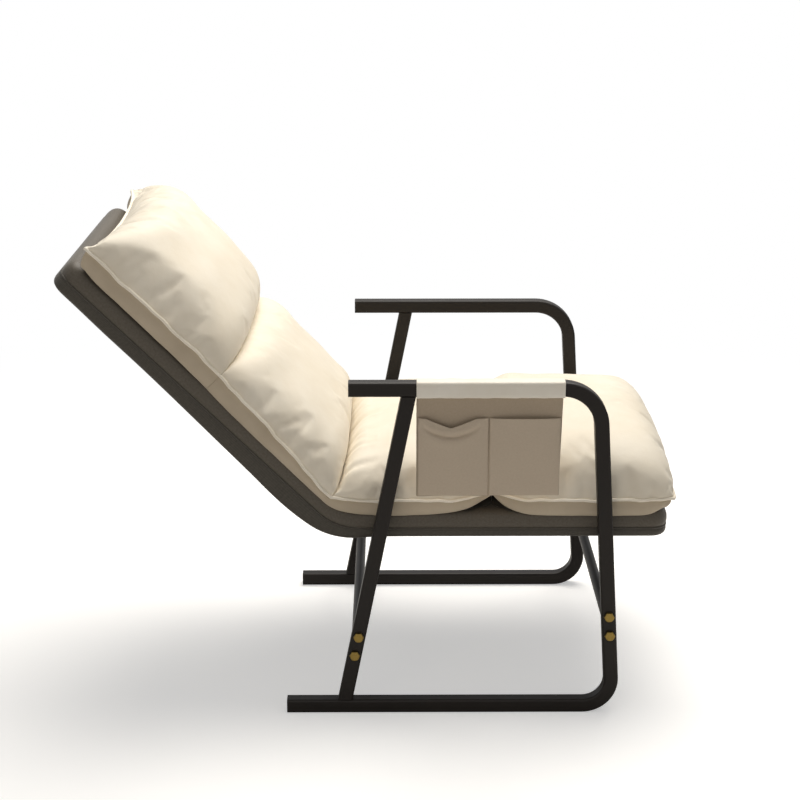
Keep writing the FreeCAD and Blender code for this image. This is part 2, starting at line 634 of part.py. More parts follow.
# Pawls: a toothed arm on a pin in each seat plate, pressed into the notches by a leaf spring
pawl_pin_set = []
for side, sign in SIDES:
    pawl = new_body(f"pawl_{side}", x=f"hinge_rear + {PAWL_X}", z=f"hinge_height + {PAWL_Z}",
                    turn=f"-{PAWL_TURN}")
    offset = on_side(sign, RATCHET_IN, "hinge_plate")
    outline = new_sketch(pawl, "XZ", offset)
    tooth = "(notch_width / 2 - notch_play)"
    heel = "pawl_width / 2"
    draw_lines(outline, [
        (f"-{heel}", "-" + heel),
        (f"pawl_reach - {tooth}", "-" + heel),
        (f"pawl_reach - {tooth}", f"-{heel} - notch_depth"),
        (f"pawl_reach + {tooth}", f"-{heel} - notch_depth"),
        (f"pawl_reach + {tooth}", "-" + heel),
        (f"pawl_reach + {tooth} + notch_play", heel),
        (f"-{heel}", heel),
    ])
    arm = pad(pawl, outline, "hinge_plate")
    boss = new_sketch(pawl, "XZ", offset)
    draw_circle(boss, "0", "0", "pawl_pin * 2")
    pad(pawl, boss, "hinge_plate")
    hole = new_sketch(pawl, "XZ", offset)
    draw_circle(hole, "0", "0", "pawl_pin + 2 * run_gap")
    pocket(pawl, hole, "hinge_plate", forward=True)
    axis = Vector(0, -sign, 0)
    outer_face = Vector(0, sign * val(f"{PLATE_OUT} + pin_head"), 0)
    length = val(f"{PLATE_OUT} + pin_head - {RATCHET_IN} + pin_head")
    shank = Part.makeCylinder(val("pawl_pin / 2"), length, outer_face, axis)
    head = Part.makeCylinder(val("pawl_pin"), val("pin_head"), outer_face, axis)
    tail_at = Vector(0, sign * val(f"{RATCHET_IN} - run_gap"), 0)
    tail = Part.makeCylinder(val("pawl_pin"), val("pin_head - run_gap"), tail_at, axis)
    pawl_pin_set.append(head.fuse([shank, tail]).removeSplitter())
group("pawl_pins", pawl_pin_set, x=f"hinge_rear + {PAWL_X}", z=f"hinge_height + {PAWL_Z}")

for side, sign in SIDES:
    spring = new_body(f"pawl_spring_{side}", x=f"hinge_rear + {PAWL_X}",
                      z=f"hinge_height + {PAWL_Z}", turn=f"-{PAWL_TURN}")
    near = "(pawl_width / 2 + soft_gap)"
    held = "(pawl_pin + 5 * soft_gap)"
    inside = f"({RATCHET_IN} + washer)"
    leaf = new_sketch(spring, "XZ", on_side(sign, inside, "hinge_plate - 2 * washer"))
    draw_lines(leaf, [
        ("-pawl_reach / 2", held),
        ("pawl_reach * 3 / 4", near),
        ("pawl_reach * 3 / 4", near + " + spring_leaf"),
        ("-pawl_reach / 2", held + " + spring_leaf"),
    ])
    pad(spring, leaf, "hinge_plate - 2 * washer")
    post_x = "(-pawl_reach / 2)"
    post_long = f"({PLATE_IN} - {RATCHET_IN} - washer)"
    post = new_sketch(spring, "XZ", on_side(sign, inside, post_long))
    draw_circle(post, post_x, f"{held} + spring_leaf + spring_post / 4", "spring_post")
    pad(spring, post, post_long)


# Pads: upholstered slabs with tunnels for the frame tubes and slots for the hinge plates
def pad_outline(body, plane_offset, under="pad_thick / 2"):
    """The rounded cross-section of a pad or the bend, down to its outer face."""
    section = new_sketch(body, "YZ", plane_offset)
    corners = rectangle("-" + PAD_HALF, PAD_HALF, f"-({under})", "pad_thick / 2")
    draw_lines(section, corners, ["pad_edge"] * 4)
    return section


def make_pad(body, reach, sign, tube_y, far, slot_in, under="pad_thick / 2"):
    """One pad along +X or -X from the hinge, with its far end rounded."""
    start = "hinge_gap" if sign > 0 else f"-({reach})"
    slab = pad(body, pad_outline(body, start, under), f"{reach} - hinge_gap")
    end = sign * val(reach)
    slab = fillet(body, slab, "pad_edge * 0.95", lambda edge: abs(edge.BoundBox.XMin - end) < 1e-6
                  and abs(edge.BoundBox.XMax - end) < 1e-6)
    u_tube(body, far, tube_y, str(sign), ["inner_tube + 2 * soft_gap"], "hinge_gap - soft_gap", True)
    slot = new_sketch(body, "YZ", f"{sign} * (hinge_gap - soft_gap)")
    low = f"({slot_in} - soft_gap)"
    high = f"({slot_in} + hinge_plate + soft_gap)"
    tall = "(hinge_plate_width / 2 + soft_gap)"
    draw_lines(slot, rectangle(low, high, "-" + tall, tall))
    draw_lines(slot, rectangle("-" + high, "-" + low, "-" + tall, tall))
    pocket(body, slot, "hinge_plate_reach - hinge_gap + 2 * soft_gap", forward=sign > 0)


seat_shell = at_seat("seat_shell")
make_pad(seat_shell, "seat_depth", 1, SEAT_TUBE_Y, SEAT_FAR, PLATE_IN)
holes = new_sketch(seat_shell, "XY", "-pad_thick / 2")
for x in LUG_PLACES:
    for y in (f"-{SEAT_TUBE_Y}", SEAT_TUBE_Y):
        draw_circle(holes, x, y, "screw_size + 2 * soft_gap")
pocket(seat_shell, holes, "pad_thick / 2", forward=True)
back_shell = at_back("back_shell")
BACK_UNDER = "pad_thick / 2 + back_fill"
make_pad(back_shell, "back_length", -1, BACK_TUBE_Y, BACK_FAR, RATCHET_IN, BACK_UNDER)
taper = new_sketch(back_shell, "XZ")
draw_lines(taper, [
    ("-hinge_gap", "-pad_thick / 2"),
    ("-(hinge_gap + fill_taper)", f"-({BACK_UNDER})"),
    ("-(hinge_gap + fill_taper)", f"-({BACK_UNDER} + back_fill)"),
    ("-hinge_gap", f"-({BACK_UNDER} + back_fill)"),
])
pocket(back_shell, taper)

# Bend cover: the upholstery that turns the corner round the hinges
BEND_END = "(hinge_gap - soft_gap)"
cover = at_seat("cover_bend")


def bend_axis_sketch(reach):
    """The middle line of the bend, running on straight at both ends."""
    axis = new_sketch(cover, "XZ")
    far = f"({BEND_END} + {reach})"
    route = [(far, "0"), ("0", "0"), (f"-{far} * cos(rest_recline)", f"{far} * sin(rest_recline)")]
    draw_lines(axis, route, [None, "bend_axis", None], closed=False)
    return axis


pipe(cover, pad_outline(cover, BEND_END), bend_axis_sketch("0"), 3)
for sign in ("", "-"):
    section = new_sketch(cover, "YZ", f"{BEND_END} + bend_wall")
    near = f"{sign}({RATCHET_IN} - pin_head - 2 * run_gap - soft_gap)"
    outer = f"{sign}({PAD_HALF} - hinge_cover + soft_gap)"
    tall = "(pad_thick / 2 - bend_wall)"
    corners = rectangle(near, outer, "-" + tall, tall)
    rounds = [None, "bend_corner", "bend_corner", None]
    draw_lines(section, corners if sign == "" else corners[::-1], rounds)
    pipe(cover, section, bend_axis_sketch("bend_wall"), 3, cut=True)


# Mattress lobes: lofted across their width with crowns, drawn-in sides and sewn channels
def lobe_section(x, half_width, crown):
    """One closed cross-section: flat sole, a lip round the pad's edge, full sides and a crown."""
    base = val("pad_thick / 2 + soft_gap")
    round_y = val(f"{PAD_HALF} - pad_edge")
    clear = val("pad_edge + soft_gap")
    sunk = clear - val("lip_bite")
    proud = clear + val("lip_bite")
    drawn_in = val(f"{PAD_HALF} + cushion_overhang") - half_width
    drop = max(val("lip_drop") * (1 - drawn_in / val("seam_pinch")), val("lip_drop") / 8)
    swing = math.acos(1 - drop / clear)
    edge = base + val("piping_rise")
    rise = base + crown - edge
    lip_y = round_y + proud * math.sin(swing)
    round_z = base - clear
    points = {
        "sole": Vector(x, round_y, round_z + sunk),
        "wrap": Vector(x, round_y + sunk * math.sin(swing / 2),
                       round_z + sunk * math.cos(swing / 2)),
        "lip": Vector(x, lip_y, round_z + proud * math.cos(swing)),
        "side": Vector(x, lip_y + 0.85 * (half_width - lip_y),
                       base - drop + 0.4 * (edge - base + drop)),
        "edge": Vector(x, half_width, edge),
        "flank": Vector(x, 0.92 * half_width, edge + 0.52 * rise),
        "shoulder": Vector(x, 0.66 * half_width, edge + 0.85 * rise),
    }
    top = Vector(x, 0, base + crown)
    mirror = {key: Vector(x, -point.y, point.z) for key, point in points.items()}
    edges = [
        Part.LineSegment(mirror["sole"], points["sole"]),
        Part.Arc(points["sole"], points["wrap"], points["lip"]),
        Part.Arc(points["lip"], points["side"], points["edge"]),
        Part.Arc(points["edge"], points["flank"], points["shoulder"]),
        Part.Arc(points["shoulder"], top, mirror["shoulder"]),
        Part.Arc(mirror["shoulder"], mirror["flank"], mirror["edge"]),
        Part.Arc(mirror["edge"], mirror["side"], mirror["lip"]),
        Part.Arc(mirror["lip"], mirror["wrap"], mirror["sole"]),
    ]
    return Part.Wire([edge.toShape() for edge in edges])


def lobe(stations):
    """Loft a lobe through stations of place, half width and crown."""
    return Part.makeLoft([lobe_section(*station) for station in stations], True, False)


def half_space(origin, lean, ahead):
    """A large block on one side of a plane across the chair that leans by an angle from flat."""
    size = 3 * val("back_length")
    block = Part.makeBox(size, size, size, Vector(0 if ahead else -size, -size / 2, -size / 2))
    block.rotate(Vector(0, 0, 0), Vector(0, 1, 0), 90 - lean)
    return block.translate(origin)


def pad_room():
    """The pads and the bend with their clearance, run on past both ends, to be cut from the lobes."""
    radius = val("bend_axis")
    recline = math.radians(val("rest_recline"))
    tangent = radius * math.tan(recline / 2)
    reach = val("seat_depth + back_length")
    ray = Vector(-math.cos(recline), 0, math.sin(recline))
    centre = Vector(tangent, 0, radius)
    middle = centre - Vector(math.sin(recline / 2), 0, math.cos(recline / 2)) * radius
    route = Part.Wire([
        Part.LineSegment(Vector(reach, 0, 0), Vector(tangent, 0, 0)).toShape(),
        Part.Arc(Vector(tangent, 0, 0), middle, ray * tangent).toShape(),
        Part.LineSegment(ray * tangent, ray * reach).toShape(),
    ])
    wide = val(f"{PAD_HALF} + soft_gap")
    thick = val("pad_thick / 2 + soft_gap")
    block = Part.makeBox(thick, 2 * wide, 2 * thick, Vector(reach - thick, -wide, -thick))
    along = [edge for edge in block.Edges if abs(edge.tangentAt(0).x) > 0.9]
    block = block.makeFillet(val("pad_edge + soft_gap"), along)
    face = max(block.Faces, key=lambda item: item.CenterOfMass.x)
    return route.makePipeShell([face.OuterWire], True, True)


full = val(f"{PAD_HALF} + cushion_overhang")
pinch = val("seam_pinch")
depth = val("seam_depth")
gap = val("soft_gap")
edge_rise = val("piping_rise")
pad_top = val("pad_thick / 2")
crease = Vector(val("crease_ahead"), 0, pad_top)
to_seat = Placement(Vector(0, 0, 0), Rotation(Vector(0, 1, 0), val("rest_recline")))
seat_room = pad_room()
back_room = seat_room.copy()
back_room.Placement = to_seat.inverse().multiply(back_room.Placement)
lean = val("crease_lean")


def seam_stations(seam, away, length, crown):
    """Stations where a lobe rises from a sewn channel."""
    return [
        (seam + away * gap / 2, full - pinch, crown - depth),
        (seam + away * length * 0.07, full - pinch * 0.35, crown - depth * 0.45),
        (seam + away * length * 0.2, full, crown - depth * 0.12),
    ]


def end_stations(end, away, length, crown, fullness):
    """Stations where a lobe rolls down to its free end."""
    rise = crown - edge_rise
    corner = val("end_corner")
    low, middle, high = fullness
    return [
        (end, full - corner, edge_rise + rise * 0.1),
        (end + away * length * 0.03, full - corner * 0.45, edge_rise + rise * low),
        (end + away * length * 0.1, full - corner * 0.12, edge_rise + rise * middle),
        (end + away * length * 0.22, full, edge_rise + rise * high),
    ]


split = val("seat_split")
front = val("seat_depth + front_overhang")
crown = val("seat_rear_crown")
behind = -val("pad_thick")
rear_stations = [
    (behind, full - pinch * 0.5, crown - depth * 0.75),
    (behind + 0.22 * (split - behind), full - pinch * 0.2, crown - depth * 0.35),
    (behind + 0.42 * (split - behind), full, crown - depth * 0.08),
    (behind + 0.62 * (split - behind), full, crown),
] + seam_stations(split, -1, split, crown)[::-1]
rear_lobe = lobe(rear_stations)
rear_lobe = rear_lobe.common(half_space(crease + Vector(gap / 2, 0, 0), lean, True))
recline = math.radians(val("rest_recline"))
rise_plane = Vector(math.sin(recline), 0, math.cos(recline))
back_face = half_space(rise_plane * (pad_top + gap), math.degrees(math.pi - recline), True)
rear_lobe = rear_lobe.common(back_face).cut(seat_room)
single("seat_cushion_rear", rear_lobe, x="hinge_rear", z="hinge_height")

crown = val("seat_front_crown")
span = front - split
front_stations = seam_stations(split, 1, span, crown)
front_stations.append((split + span * 0.5, full, crown))
front_stations += end_stations(front, -1, span, crown, (0.42, 0.72, 0.92))[::-1]
single("seat_cushion_front", lobe(front_stations).cut(seat_room), x="hinge_rear", z="hinge_height")

split = val("back_split")
crown = val("back_crown")
back_stations = [
    (pad_top * 2, full - pinch * 0.5, crown - depth * 0.5),
    (pad_top * 2 - 0.22 * (split + pad_top * 2), full - pinch * 0.2, crown - depth * 0.2),
    (pad_top * 2 - 0.42 * (split + pad_top * 2), full, crown - depth * 0.04),
    (pad_top * 2 - 0.62 * (split + pad_top * 2), full, crown),
] + seam_stations(-split, 1, split, crown)[::-1]
back_lobe = lobe(back_stations)
crease_back = half_space(crease - Vector(gap / 2, 0, 0), lean, False)
crease_back.Placement = to_seat.inverse().multiply(crease_back.Placement)
back_lobe = back_lobe.common(crease_back).cut(back_room)
single("back_cushion", back_lobe, x="hinge_rear", z="hinge_height", turn="rest_recline")

crown = val("head_crown")
top = val("back_length - head_inset")
span = top - split
head_stations = seam_stations(-split, -1, span, crown)
head_stations.append((-split - span * 0.52, full, crown))
head_stations += end_stations(-top, 1, span, crown, (0.5, 0.8, 0.96))[::-1]
head_lobe = lobe(head_stations).cut(back_room)
single("head_cushion", head_lobe, x="hinge_rear", z="hinge_height", turn="rest_recline")

# Pocket: a sleeve round the right armrest, a hanging panel and two patch pockets
POCKET_Y = "-frame_spacing / 2"
POCKET_X = f"(strut_head + {STRUT_HALF} + pocket_after)"
SLEEVE_IN = "(frame_tube / 2 + soft_gap)"
SLEEVE_OUT = "(frame_tube / 2 + soft_gap + cloth)"
sleeve = new_body("pocket_sleeve", x=POCKET_X, y=POCKET_Y, z="arm_height - frame_tube / 2")
section = new_sketch(sleeve, "YZ")
draw_lines(section, rectangle("-" + SLEEVE_OUT, SLEEVE_OUT, "-" + SLEEVE_OUT, SLEEVE_OUT),
           ["frame_corner + soft_gap + cloth"] * 4)
draw_lines(section, rectangle("-" + SLEEVE_IN, SLEEVE_IN, "-" + SLEEVE_IN, SLEEVE_IN),
           ["frame_corner + soft_gap"] * 4)
pad(sleeve, section, "pocket_length")

PANEL_TOP = "(arm_height - frame_tube - soft_gap - cloth)"
panel = new_body("pocket_panel", x=POCKET_X, y=POCKET_Y, z=PANEL_TOP)
outline = new_sketch(panel, "XZ", "panel_out - cloth")
draw_lines(outline, rectangle("panel_inset", "pocket_length - panel_inset", "-panel_drop", "0"),
           ["pouch_margin", "pouch_margin", None, None])
pad(panel, outline, "cloth")

POUCH_MID = "(pocket_length / 2)"
POUCH_LOW = "(pouch_margin - panel_drop)"
POUCH_ENDS = (
    ("pocket_left", "(panel_inset + pouch_margin)", f"({POUCH_MID} - pouch_split / 2)", True),
    ("pocket_right", f"({POUCH_MID} + pouch_split / 2)",
     "(pocket_length - panel_inset - pouch_margin)", False),
)
for name, start, stop, notched in POUCH_ENDS:
    pouch = new_body(name, x=POCKET_X, y=POCKET_Y, z=PANEL_TOP)
    outline = new_sketch(pouch, "XZ", "panel_out")
    corners = [(start, POUCH_LOW), (stop, POUCH_LOW), (stop, "-pouch_mouth")]
    if notched:
        corners.append((f"({start} + {stop}) / 2", "-pouch_mouth - pouch_notch"))
    corners.append((start, "-pouch_mouth"))
    rounds = ["pouch_margin * 2", "pouch_margin * 2"] + [None] * (len(corners) - 2)
    draw_lines(outline, corners, rounds)
    slab = pad(pouch, outline, "pouch_depth")
    hollow = new_sketch(pouch, "XZ", "panel_out")
    room = rectangle(f"{start} + cloth", f"{stop} - cloth", f"{POUCH_LOW} + cloth", "0")
    draw_lines(hollow, room)
    pocket(pouch, hollow, "pouch_depth - cloth", forward=True)

# Check every object, then write one file for each sub-part
doc.recompute()
for item in doc.Objects:
    if "Invalid" in item.State or "Error" in item.State:
        raise RuntimeError(f"{item.Label} did not build")
for item in doc.Objects:
    if item.TypeId not in ("PartDesign::Body", "Part::Feature"):
        continue
    if item.getParentGeoFeatureGroup():
        continue
    shape = item.Shape
    if shape.isNull() or not shape.isValid() or not shape.Solids:
        raise RuntimeError(f"{item.Label} has no valid solid")
    shape.exportStep(f"parts/{item.Label}.step")
    print(item.Label, len(shape.Solids), round(shape.Volume))
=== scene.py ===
"""Dresses the folding reclining chair: fillings, covers, finishes, light and camera.

Lengths are in metres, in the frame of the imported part: the chair faces +X,
+Z is up, and the floor is at Z = 0.
"""

import json
import logging
import math
import random
from dataclasses import dataclass, field
from enum import Enum

import bpy
import numpy as np
from bpy.types import Material, Modifier, Node, NodeSocket, NodeTree, Object
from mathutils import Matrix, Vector

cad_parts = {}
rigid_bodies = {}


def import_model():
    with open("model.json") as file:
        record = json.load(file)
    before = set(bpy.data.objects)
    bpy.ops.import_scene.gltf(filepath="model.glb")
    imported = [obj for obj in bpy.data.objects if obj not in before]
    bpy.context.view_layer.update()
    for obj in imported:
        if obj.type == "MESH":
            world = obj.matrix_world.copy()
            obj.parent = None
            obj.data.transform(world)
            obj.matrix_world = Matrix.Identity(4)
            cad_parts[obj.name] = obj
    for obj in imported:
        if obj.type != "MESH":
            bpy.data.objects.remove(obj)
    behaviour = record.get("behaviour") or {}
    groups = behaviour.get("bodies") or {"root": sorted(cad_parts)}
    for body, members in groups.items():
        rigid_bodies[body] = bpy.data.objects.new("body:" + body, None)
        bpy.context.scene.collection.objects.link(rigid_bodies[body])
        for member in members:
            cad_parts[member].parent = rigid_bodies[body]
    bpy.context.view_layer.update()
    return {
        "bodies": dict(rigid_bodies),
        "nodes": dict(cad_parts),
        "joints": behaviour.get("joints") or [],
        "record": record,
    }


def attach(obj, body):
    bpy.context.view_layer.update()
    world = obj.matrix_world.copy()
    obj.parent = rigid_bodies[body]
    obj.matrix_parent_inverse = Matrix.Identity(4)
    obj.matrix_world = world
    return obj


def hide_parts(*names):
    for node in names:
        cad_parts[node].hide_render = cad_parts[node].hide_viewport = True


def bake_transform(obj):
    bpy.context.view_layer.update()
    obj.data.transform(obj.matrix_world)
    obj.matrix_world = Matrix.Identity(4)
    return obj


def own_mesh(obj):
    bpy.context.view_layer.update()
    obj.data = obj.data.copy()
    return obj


LOG = logging.getLogger("recliner")
MM = 0.001
MERGE = 1e-5
TINY = 1e-9


class Body(Enum):
    """The moving bodies of the chair."""

    BASE = "base"
    BACKREST = "backrest"


class Slot(Enum):
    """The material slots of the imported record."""

    SHELL = "shell_fabric"
    CUSHION = "cushion_fabric"
    SLEEVE = "sleeve_fabric"
    POCKET = "pocket_fabric"


class EndKind(Enum):
    """How a lobe of the mattress ends."""

    CREASE = "pressed against the other pad's lobe"
    SEAM = "sewn down in a channel"
    FREE = "rolled down to the piping"


# --- small helpers -----------------------------------------------------------


def linear(hex_colour: str) -> tuple[float, float, float, float]:
    """Turn an sRGB hex colour into linear RGBA.

    Args:
        hex_colour: six hex digits, with or without a leading #.

    Returns:
        The linear colour with alpha 1.
    """
    digits = hex_colour.lstrip("#")
    parts = [int(digits[i : i + 2], 16) / 255 for i in (0, 2, 4)]
    out = [c / 12.92 if c <= 0.04045 else ((c + 0.055) / 1.055) ** 2.4 for c in parts]
    return out[0], out[1], out[2], 1.0


def add_node(tree: NodeTree, kind: str, inputs: dict | None = None, **settings) -> Node:
    """Add a node with its settings and links.

    Args:
        tree: the node tree that gets it.
        kind: the node's type name.
        inputs: values or output sockets by input name or number.
        settings: properties of the node.

    Returns:
        The new node.
    """
    node = tree.nodes.new(kind)
    for name, value in settings.items():
        setattr(node, name, value)
    for key, value in (inputs or {}).items():
        if isinstance(value, NodeSocket):
            tree.links.new(value, node.inputs[key])
        else:
            node.inputs[key].default_value = value
    return node


def select_only(obj: Object) -> None:
    """Deselect everything, then make one object selected and active."""
    bpy.ops.object.select_all(action="DESELECT")
    obj.select_set(True)
    bpy.context.view_layer.objects.active = obj


def apply_modifier(obj: Object, modifier: Modifier) -> None:
    """Apply one modifier of an object."""
    select_only(obj)
    bpy.ops.object.modifier_apply(modifier=modifier.name)


def mesh_object(
    name: str, points: np.ndarray, faces: list, uvs: np.ndarray | None = None
) -> Object:
    """Make a smooth mesh object at the origin.

    Args:
        name: the object's name.
        points: vertex places, one row each.
        faces: vertex numbers of each face.
        uvs: cloth coordinates in metres, one row per face corner in face order.

    Returns:
        The object, linked to the scene.
    """
    mesh = bpy.data.meshes.new(name)
    mesh.from_pydata([tuple(p) for p in np.asarray(points, float)], [], faces)
    mesh.polygons.foreach_set("use_smooth", [True] * len(mesh.polygons))
    if uvs is not None:
        layer = mesh.uv_layers.new(name="cloth")
        layer.data.foreach_set("uv", np.asarray(uvs, np.float32).ravel())
    mesh.update()
    obj = bpy.data.objects.new(name, mesh)
    bpy.context.scene.collection.objects.link(obj)
    return obj


def subdivide(obj: Object, levels: int = 1) -> None:
    """Round an object with an applied subdivision surface."""
    modifier = obj.modifiers.new("rounding", "SUBSURF")
    modifier.levels = levels
    modifier.render_levels = levels
    apply_modifier(obj, modifier)


def recalculate(obj: Object) -> None:
    """Merge doubles and point all faces outwards."""
    select_only(obj)
    bpy.ops.object.mode_set(mode="EDIT")
    bpy.ops.mesh.select_all(action="SELECT")
    bpy.ops.mesh.remove_doubles(threshold=MERGE)
    bpy.ops.mesh.normals_make_consistent(inside=False)
    bpy.ops.object.mode_set(mode="OBJECT")


def smoothstep(x: np.ndarray | float) -> np.ndarray | float:
    """Ease from 0 to 1 with flat ends."""
    t = np.clip(x, 0.0, 1.0)
    return t * t * (3 - 2 * t)


def grid_faces(rows: int, columns: int) -> list[tuple[int, int, int, int]]:
    """Faces of a grid whose vertices are numbered row by row."""
    wide = columns + 1
    return [
        (i * wide + j, (i + 1) * wide + j, (i + 1) * wide + j + 1, i * wide + j + 1)
        for i in range(rows)
        for j in range(columns)
    ]


def four_sides(ring: np.ndarray, first: int, second: int) -> list[np.ndarray]:
    """Part a closed ring into its four sides.

    Args:
        ring: the ring's places.
        first: steps along the first and third side.
        second: steps along the second and fourth side.

    Returns:
        The four sides with their corners, opposite ones in the same direction.
    """
    half = first + second
    third = ring[half : half + first + 1]
    fourth = np.concatenate((ring[half + first :], ring[:1]))
    return [ring[: first + 1], ring[first : half + 1], third[::-1], fourth[::-1]]


def blend_sides(
    right: np.ndarray, left: np.ndarray, first: np.ndarray, last: np.ndarray
) -> np.ndarray:
    """Fill the space between four sides with a grid by blending them.

    Args:
        right: the grid's first column.
        left: its last column.
        first: its first row.
        last: its last row.

    Returns:
        The grid's places, rows by columns.
    """
    s = np.linspace(0, 1, len(right))[:, None, None]
    t = np.linspace(0, 1, len(first))[None, :, None]
    across = right[:, None] * (1 - t) + left[:, None] * t
    along = first[None] * (1 - s) + last[None] * s
    right_line = right[0] * (1 - s) + right[-1] * s
    left_line = left[0] * (1 - s) + left[-1] * s
    return across + along - (right_line * (1 - t) + left_line * t)


def number_inside(number: np.ndarray, grid: np.ndarray, start: int) -> np.ndarray:
    """Number a grid's places inside its rim.

    Args:
        number: the grid's vertex numbers, -1 inside the rim, where they are filled in.
        grid: the grid's places.
        start: the first free number.

    Returns:
        The places inside the rim, in the order of their numbers.
    """
    inside = number < 0
    number[inside] = start + np.arange(inside.sum())
    return grid[inside]


def run_along(places: np.ndarray) -> np.ndarray:
    """Distance of each place from the first, along the line through them."""
    return np.concatenate(([0.0], np.cumsum(np.linalg.norm(np.diff(places, axis=0), axis=1))))


def log_size(obj: Object) -> None:
    """Log how many faces a piece has."""
    LOG.info("%s: %d faces", obj.name, len(obj.data.polygons))


def dress(obj: Object, material: Material) -> None:
    """Give an object one material."""
    if obj.material_slots:
        for each in obj.material_slots:
            each.material = material
    else:
        obj.data.materials.append(material)


@dataclass(frozen=True)
class PadFrame:
    """Working axes of a pad: along it from the hinge, across, and up off its middle plane."""

    along: tuple[float, float, float]
    up: tuple[float, float, float]
    hinge: tuple[float, float, float] = (-0.058167, 0.0, 0.3465)

    @property
    def axes(self) -> np.ndarray:
        """The axes as rows: along, across, up."""
        return np.array([self.along, (0.0, 1.0, 0.0), self.up])

    def world(self, local: np.ndarray) -> np.ndarray:
        """Turn (along, across, up) rows into places in the part's frame."""
        return np.asarray(local) @ self.axes + np.array(self.hinge)

    def local(self, places: np.ndarray) -> np.ndarray:
        """Turn places in the part's frame into (along, across, up) rows."""
        return (np.asarray(places) - np.array(self.hinge)) @ self.axes.T


HALF = math.sqrt(0.5)
SEAT = PadFrame((1.0, 0.0, 0.0), (0.0, 0.0, 1.0))
BACK = PadFrame((-HALF, 0.0, HALF), (HALF, 0.0, HALF))


# --- finishes ----------------------------------------------------------------


class Recipe:
    """A procedural material in the making, with the steps that the finishes share."""

    def __init__(self, name: str) -> None:
        """Start a material with a Principled shader wired to its output."""
        self.material = bpy.data.materials.new(name)
        self.material.use_nodes = True
        self.tree = self.material.node_tree
        self.shader = self.tree.nodes["Principled BSDF"]

    def add(self, kind: str, inputs: dict | None = None, **settings) -> Node:
        """Add a node to the material."""
        return add_node(self.tree, f"ShaderNode{kind}", inputs, **settings)

    def place(self) -> NodeSocket:
        """Places on the object, in metres."""
        return self.add("TexCoord").outputs["Object"]

    def noise(
        self, vector: NodeSocket, scale: float, detail: float, **more
    ) -> NodeSocket:
        """Noise with a number of cells per metre."""
        inputs = {"Vector": vector, "Scale": scale, "Detail": detail}
        return self.add("TexNoise", inputs | more).outputs["Fac"]

    def colours(self, share: NodeSocket, first: str, second: str) -> None:
        """Mix two colours into the base colour."""
        inputs = {0: share, 6: linear(first), 7: linear(second)}
        mixed = self.add("Mix", inputs, data_type="RGBA")
        self.tree.links.new(mixed.outputs[2], self.shader.inputs["Base Color"])

    def roughness(self, share: NodeSocket, low: float, high: float) -> None:
        """Let the roughness vary between two values."""
        spread = self.add("MapRange", {0: share, 3: low, 4: high})
        self.tree.links.new(spread.outputs[0], self.shader.inputs["Roughness"])

    def bump(self, height: NodeSocket, strength: float, distance: float) -> None:
        """Give the surface a fine relief."""
        relief = self.add("Bump", {"Height": height, "Strength": strength, "Distance": distance})
        self.tree.links.new(relief.outputs[0], self.shader.inputs["Normal"])

    def fixed(self, values: dict) -> None:
        """Set plain values of the shader by input name."""
        for name, value in values.items():
            self.shader.inputs[name].default_value = value


def cells(size_mm: float) -> float:
    """Cells per metre for a cell size in mm."""
    return 1 / (size_mm * MM)


@dataclass(frozen=True)
class PowderCoat:
    """Satin polyester powder coat on steel tube: a faint orange peel, a little worn in places."""

    name: str = "powder_coated_steel"
    colour: str = "#171310"
    worn: str = "#211b16"
    wear_scale: float = 9.0
    peel_mm: float = 2.5
    roughness: float = 0.42

    def build(self) -> Material:
        """Make the material."""
        recipe = Recipe(self.name)
        place = recipe.place()
        cloud = recipe.noise(place, self.wear_scale, 3.0)
        recipe.colours(cloud, self.colour, self.worn)
        recipe.roughness(cloud, self.roughness - 0.06, self.roughness + 0.1)
        peel = recipe.noise(place, cells(self.peel_mm), 1.5)
        recipe.bump(peel, strength=0.12, distance=0.0004)
        recipe.fixed({"Specular IOR Level": 0.3})
        return recipe.material


@dataclass(frozen=True)
class PlatedMetal:
    """Plated steel with fine scratches that catch the light."""

    name: str
    colour: str
    shade: str
    roughness: float
    scratch_mm: float = 1.2

    def build(self) -> Material:
        """Make the material."""
        recipe = Recipe(self.name)
        fine = recipe.noise(recipe.place(), cells(self.scratch_mm), 2.0)
        recipe.colours(fine, self.colour, self.shade)
        recipe.roughness(fine, self.roughness - 0.08, self.roughness + 0.12)
        recipe.bump(fine, strength=0.1, distance=0.0002)
        recipe.fixed({"Metallic": 1.0})
        return recipe.material


@dataclass(frozen=True)
class MouldedPlastic:
    """Injection-moulded polypropylene with a fine spark-eroded grain."""

    name: str = "moulded_polypropylene"
    colour: str = "#1b1a19"
    grain_mm: float = 0.9

    def build(self) -> Material:
        """Make the material."""
        recipe = Recipe(self.name)
        grain = recipe.noise(recipe.place(), cells(self.grain_mm), 2.0)
        recipe.roughness(grain, 0.5, 0.68)
        recipe.bump(grain, strength=0.2, distance=0.0003)
        recipe.fixed({"Base Color": linear(self.colour), "IOR": 1.49})
        return recipe.material


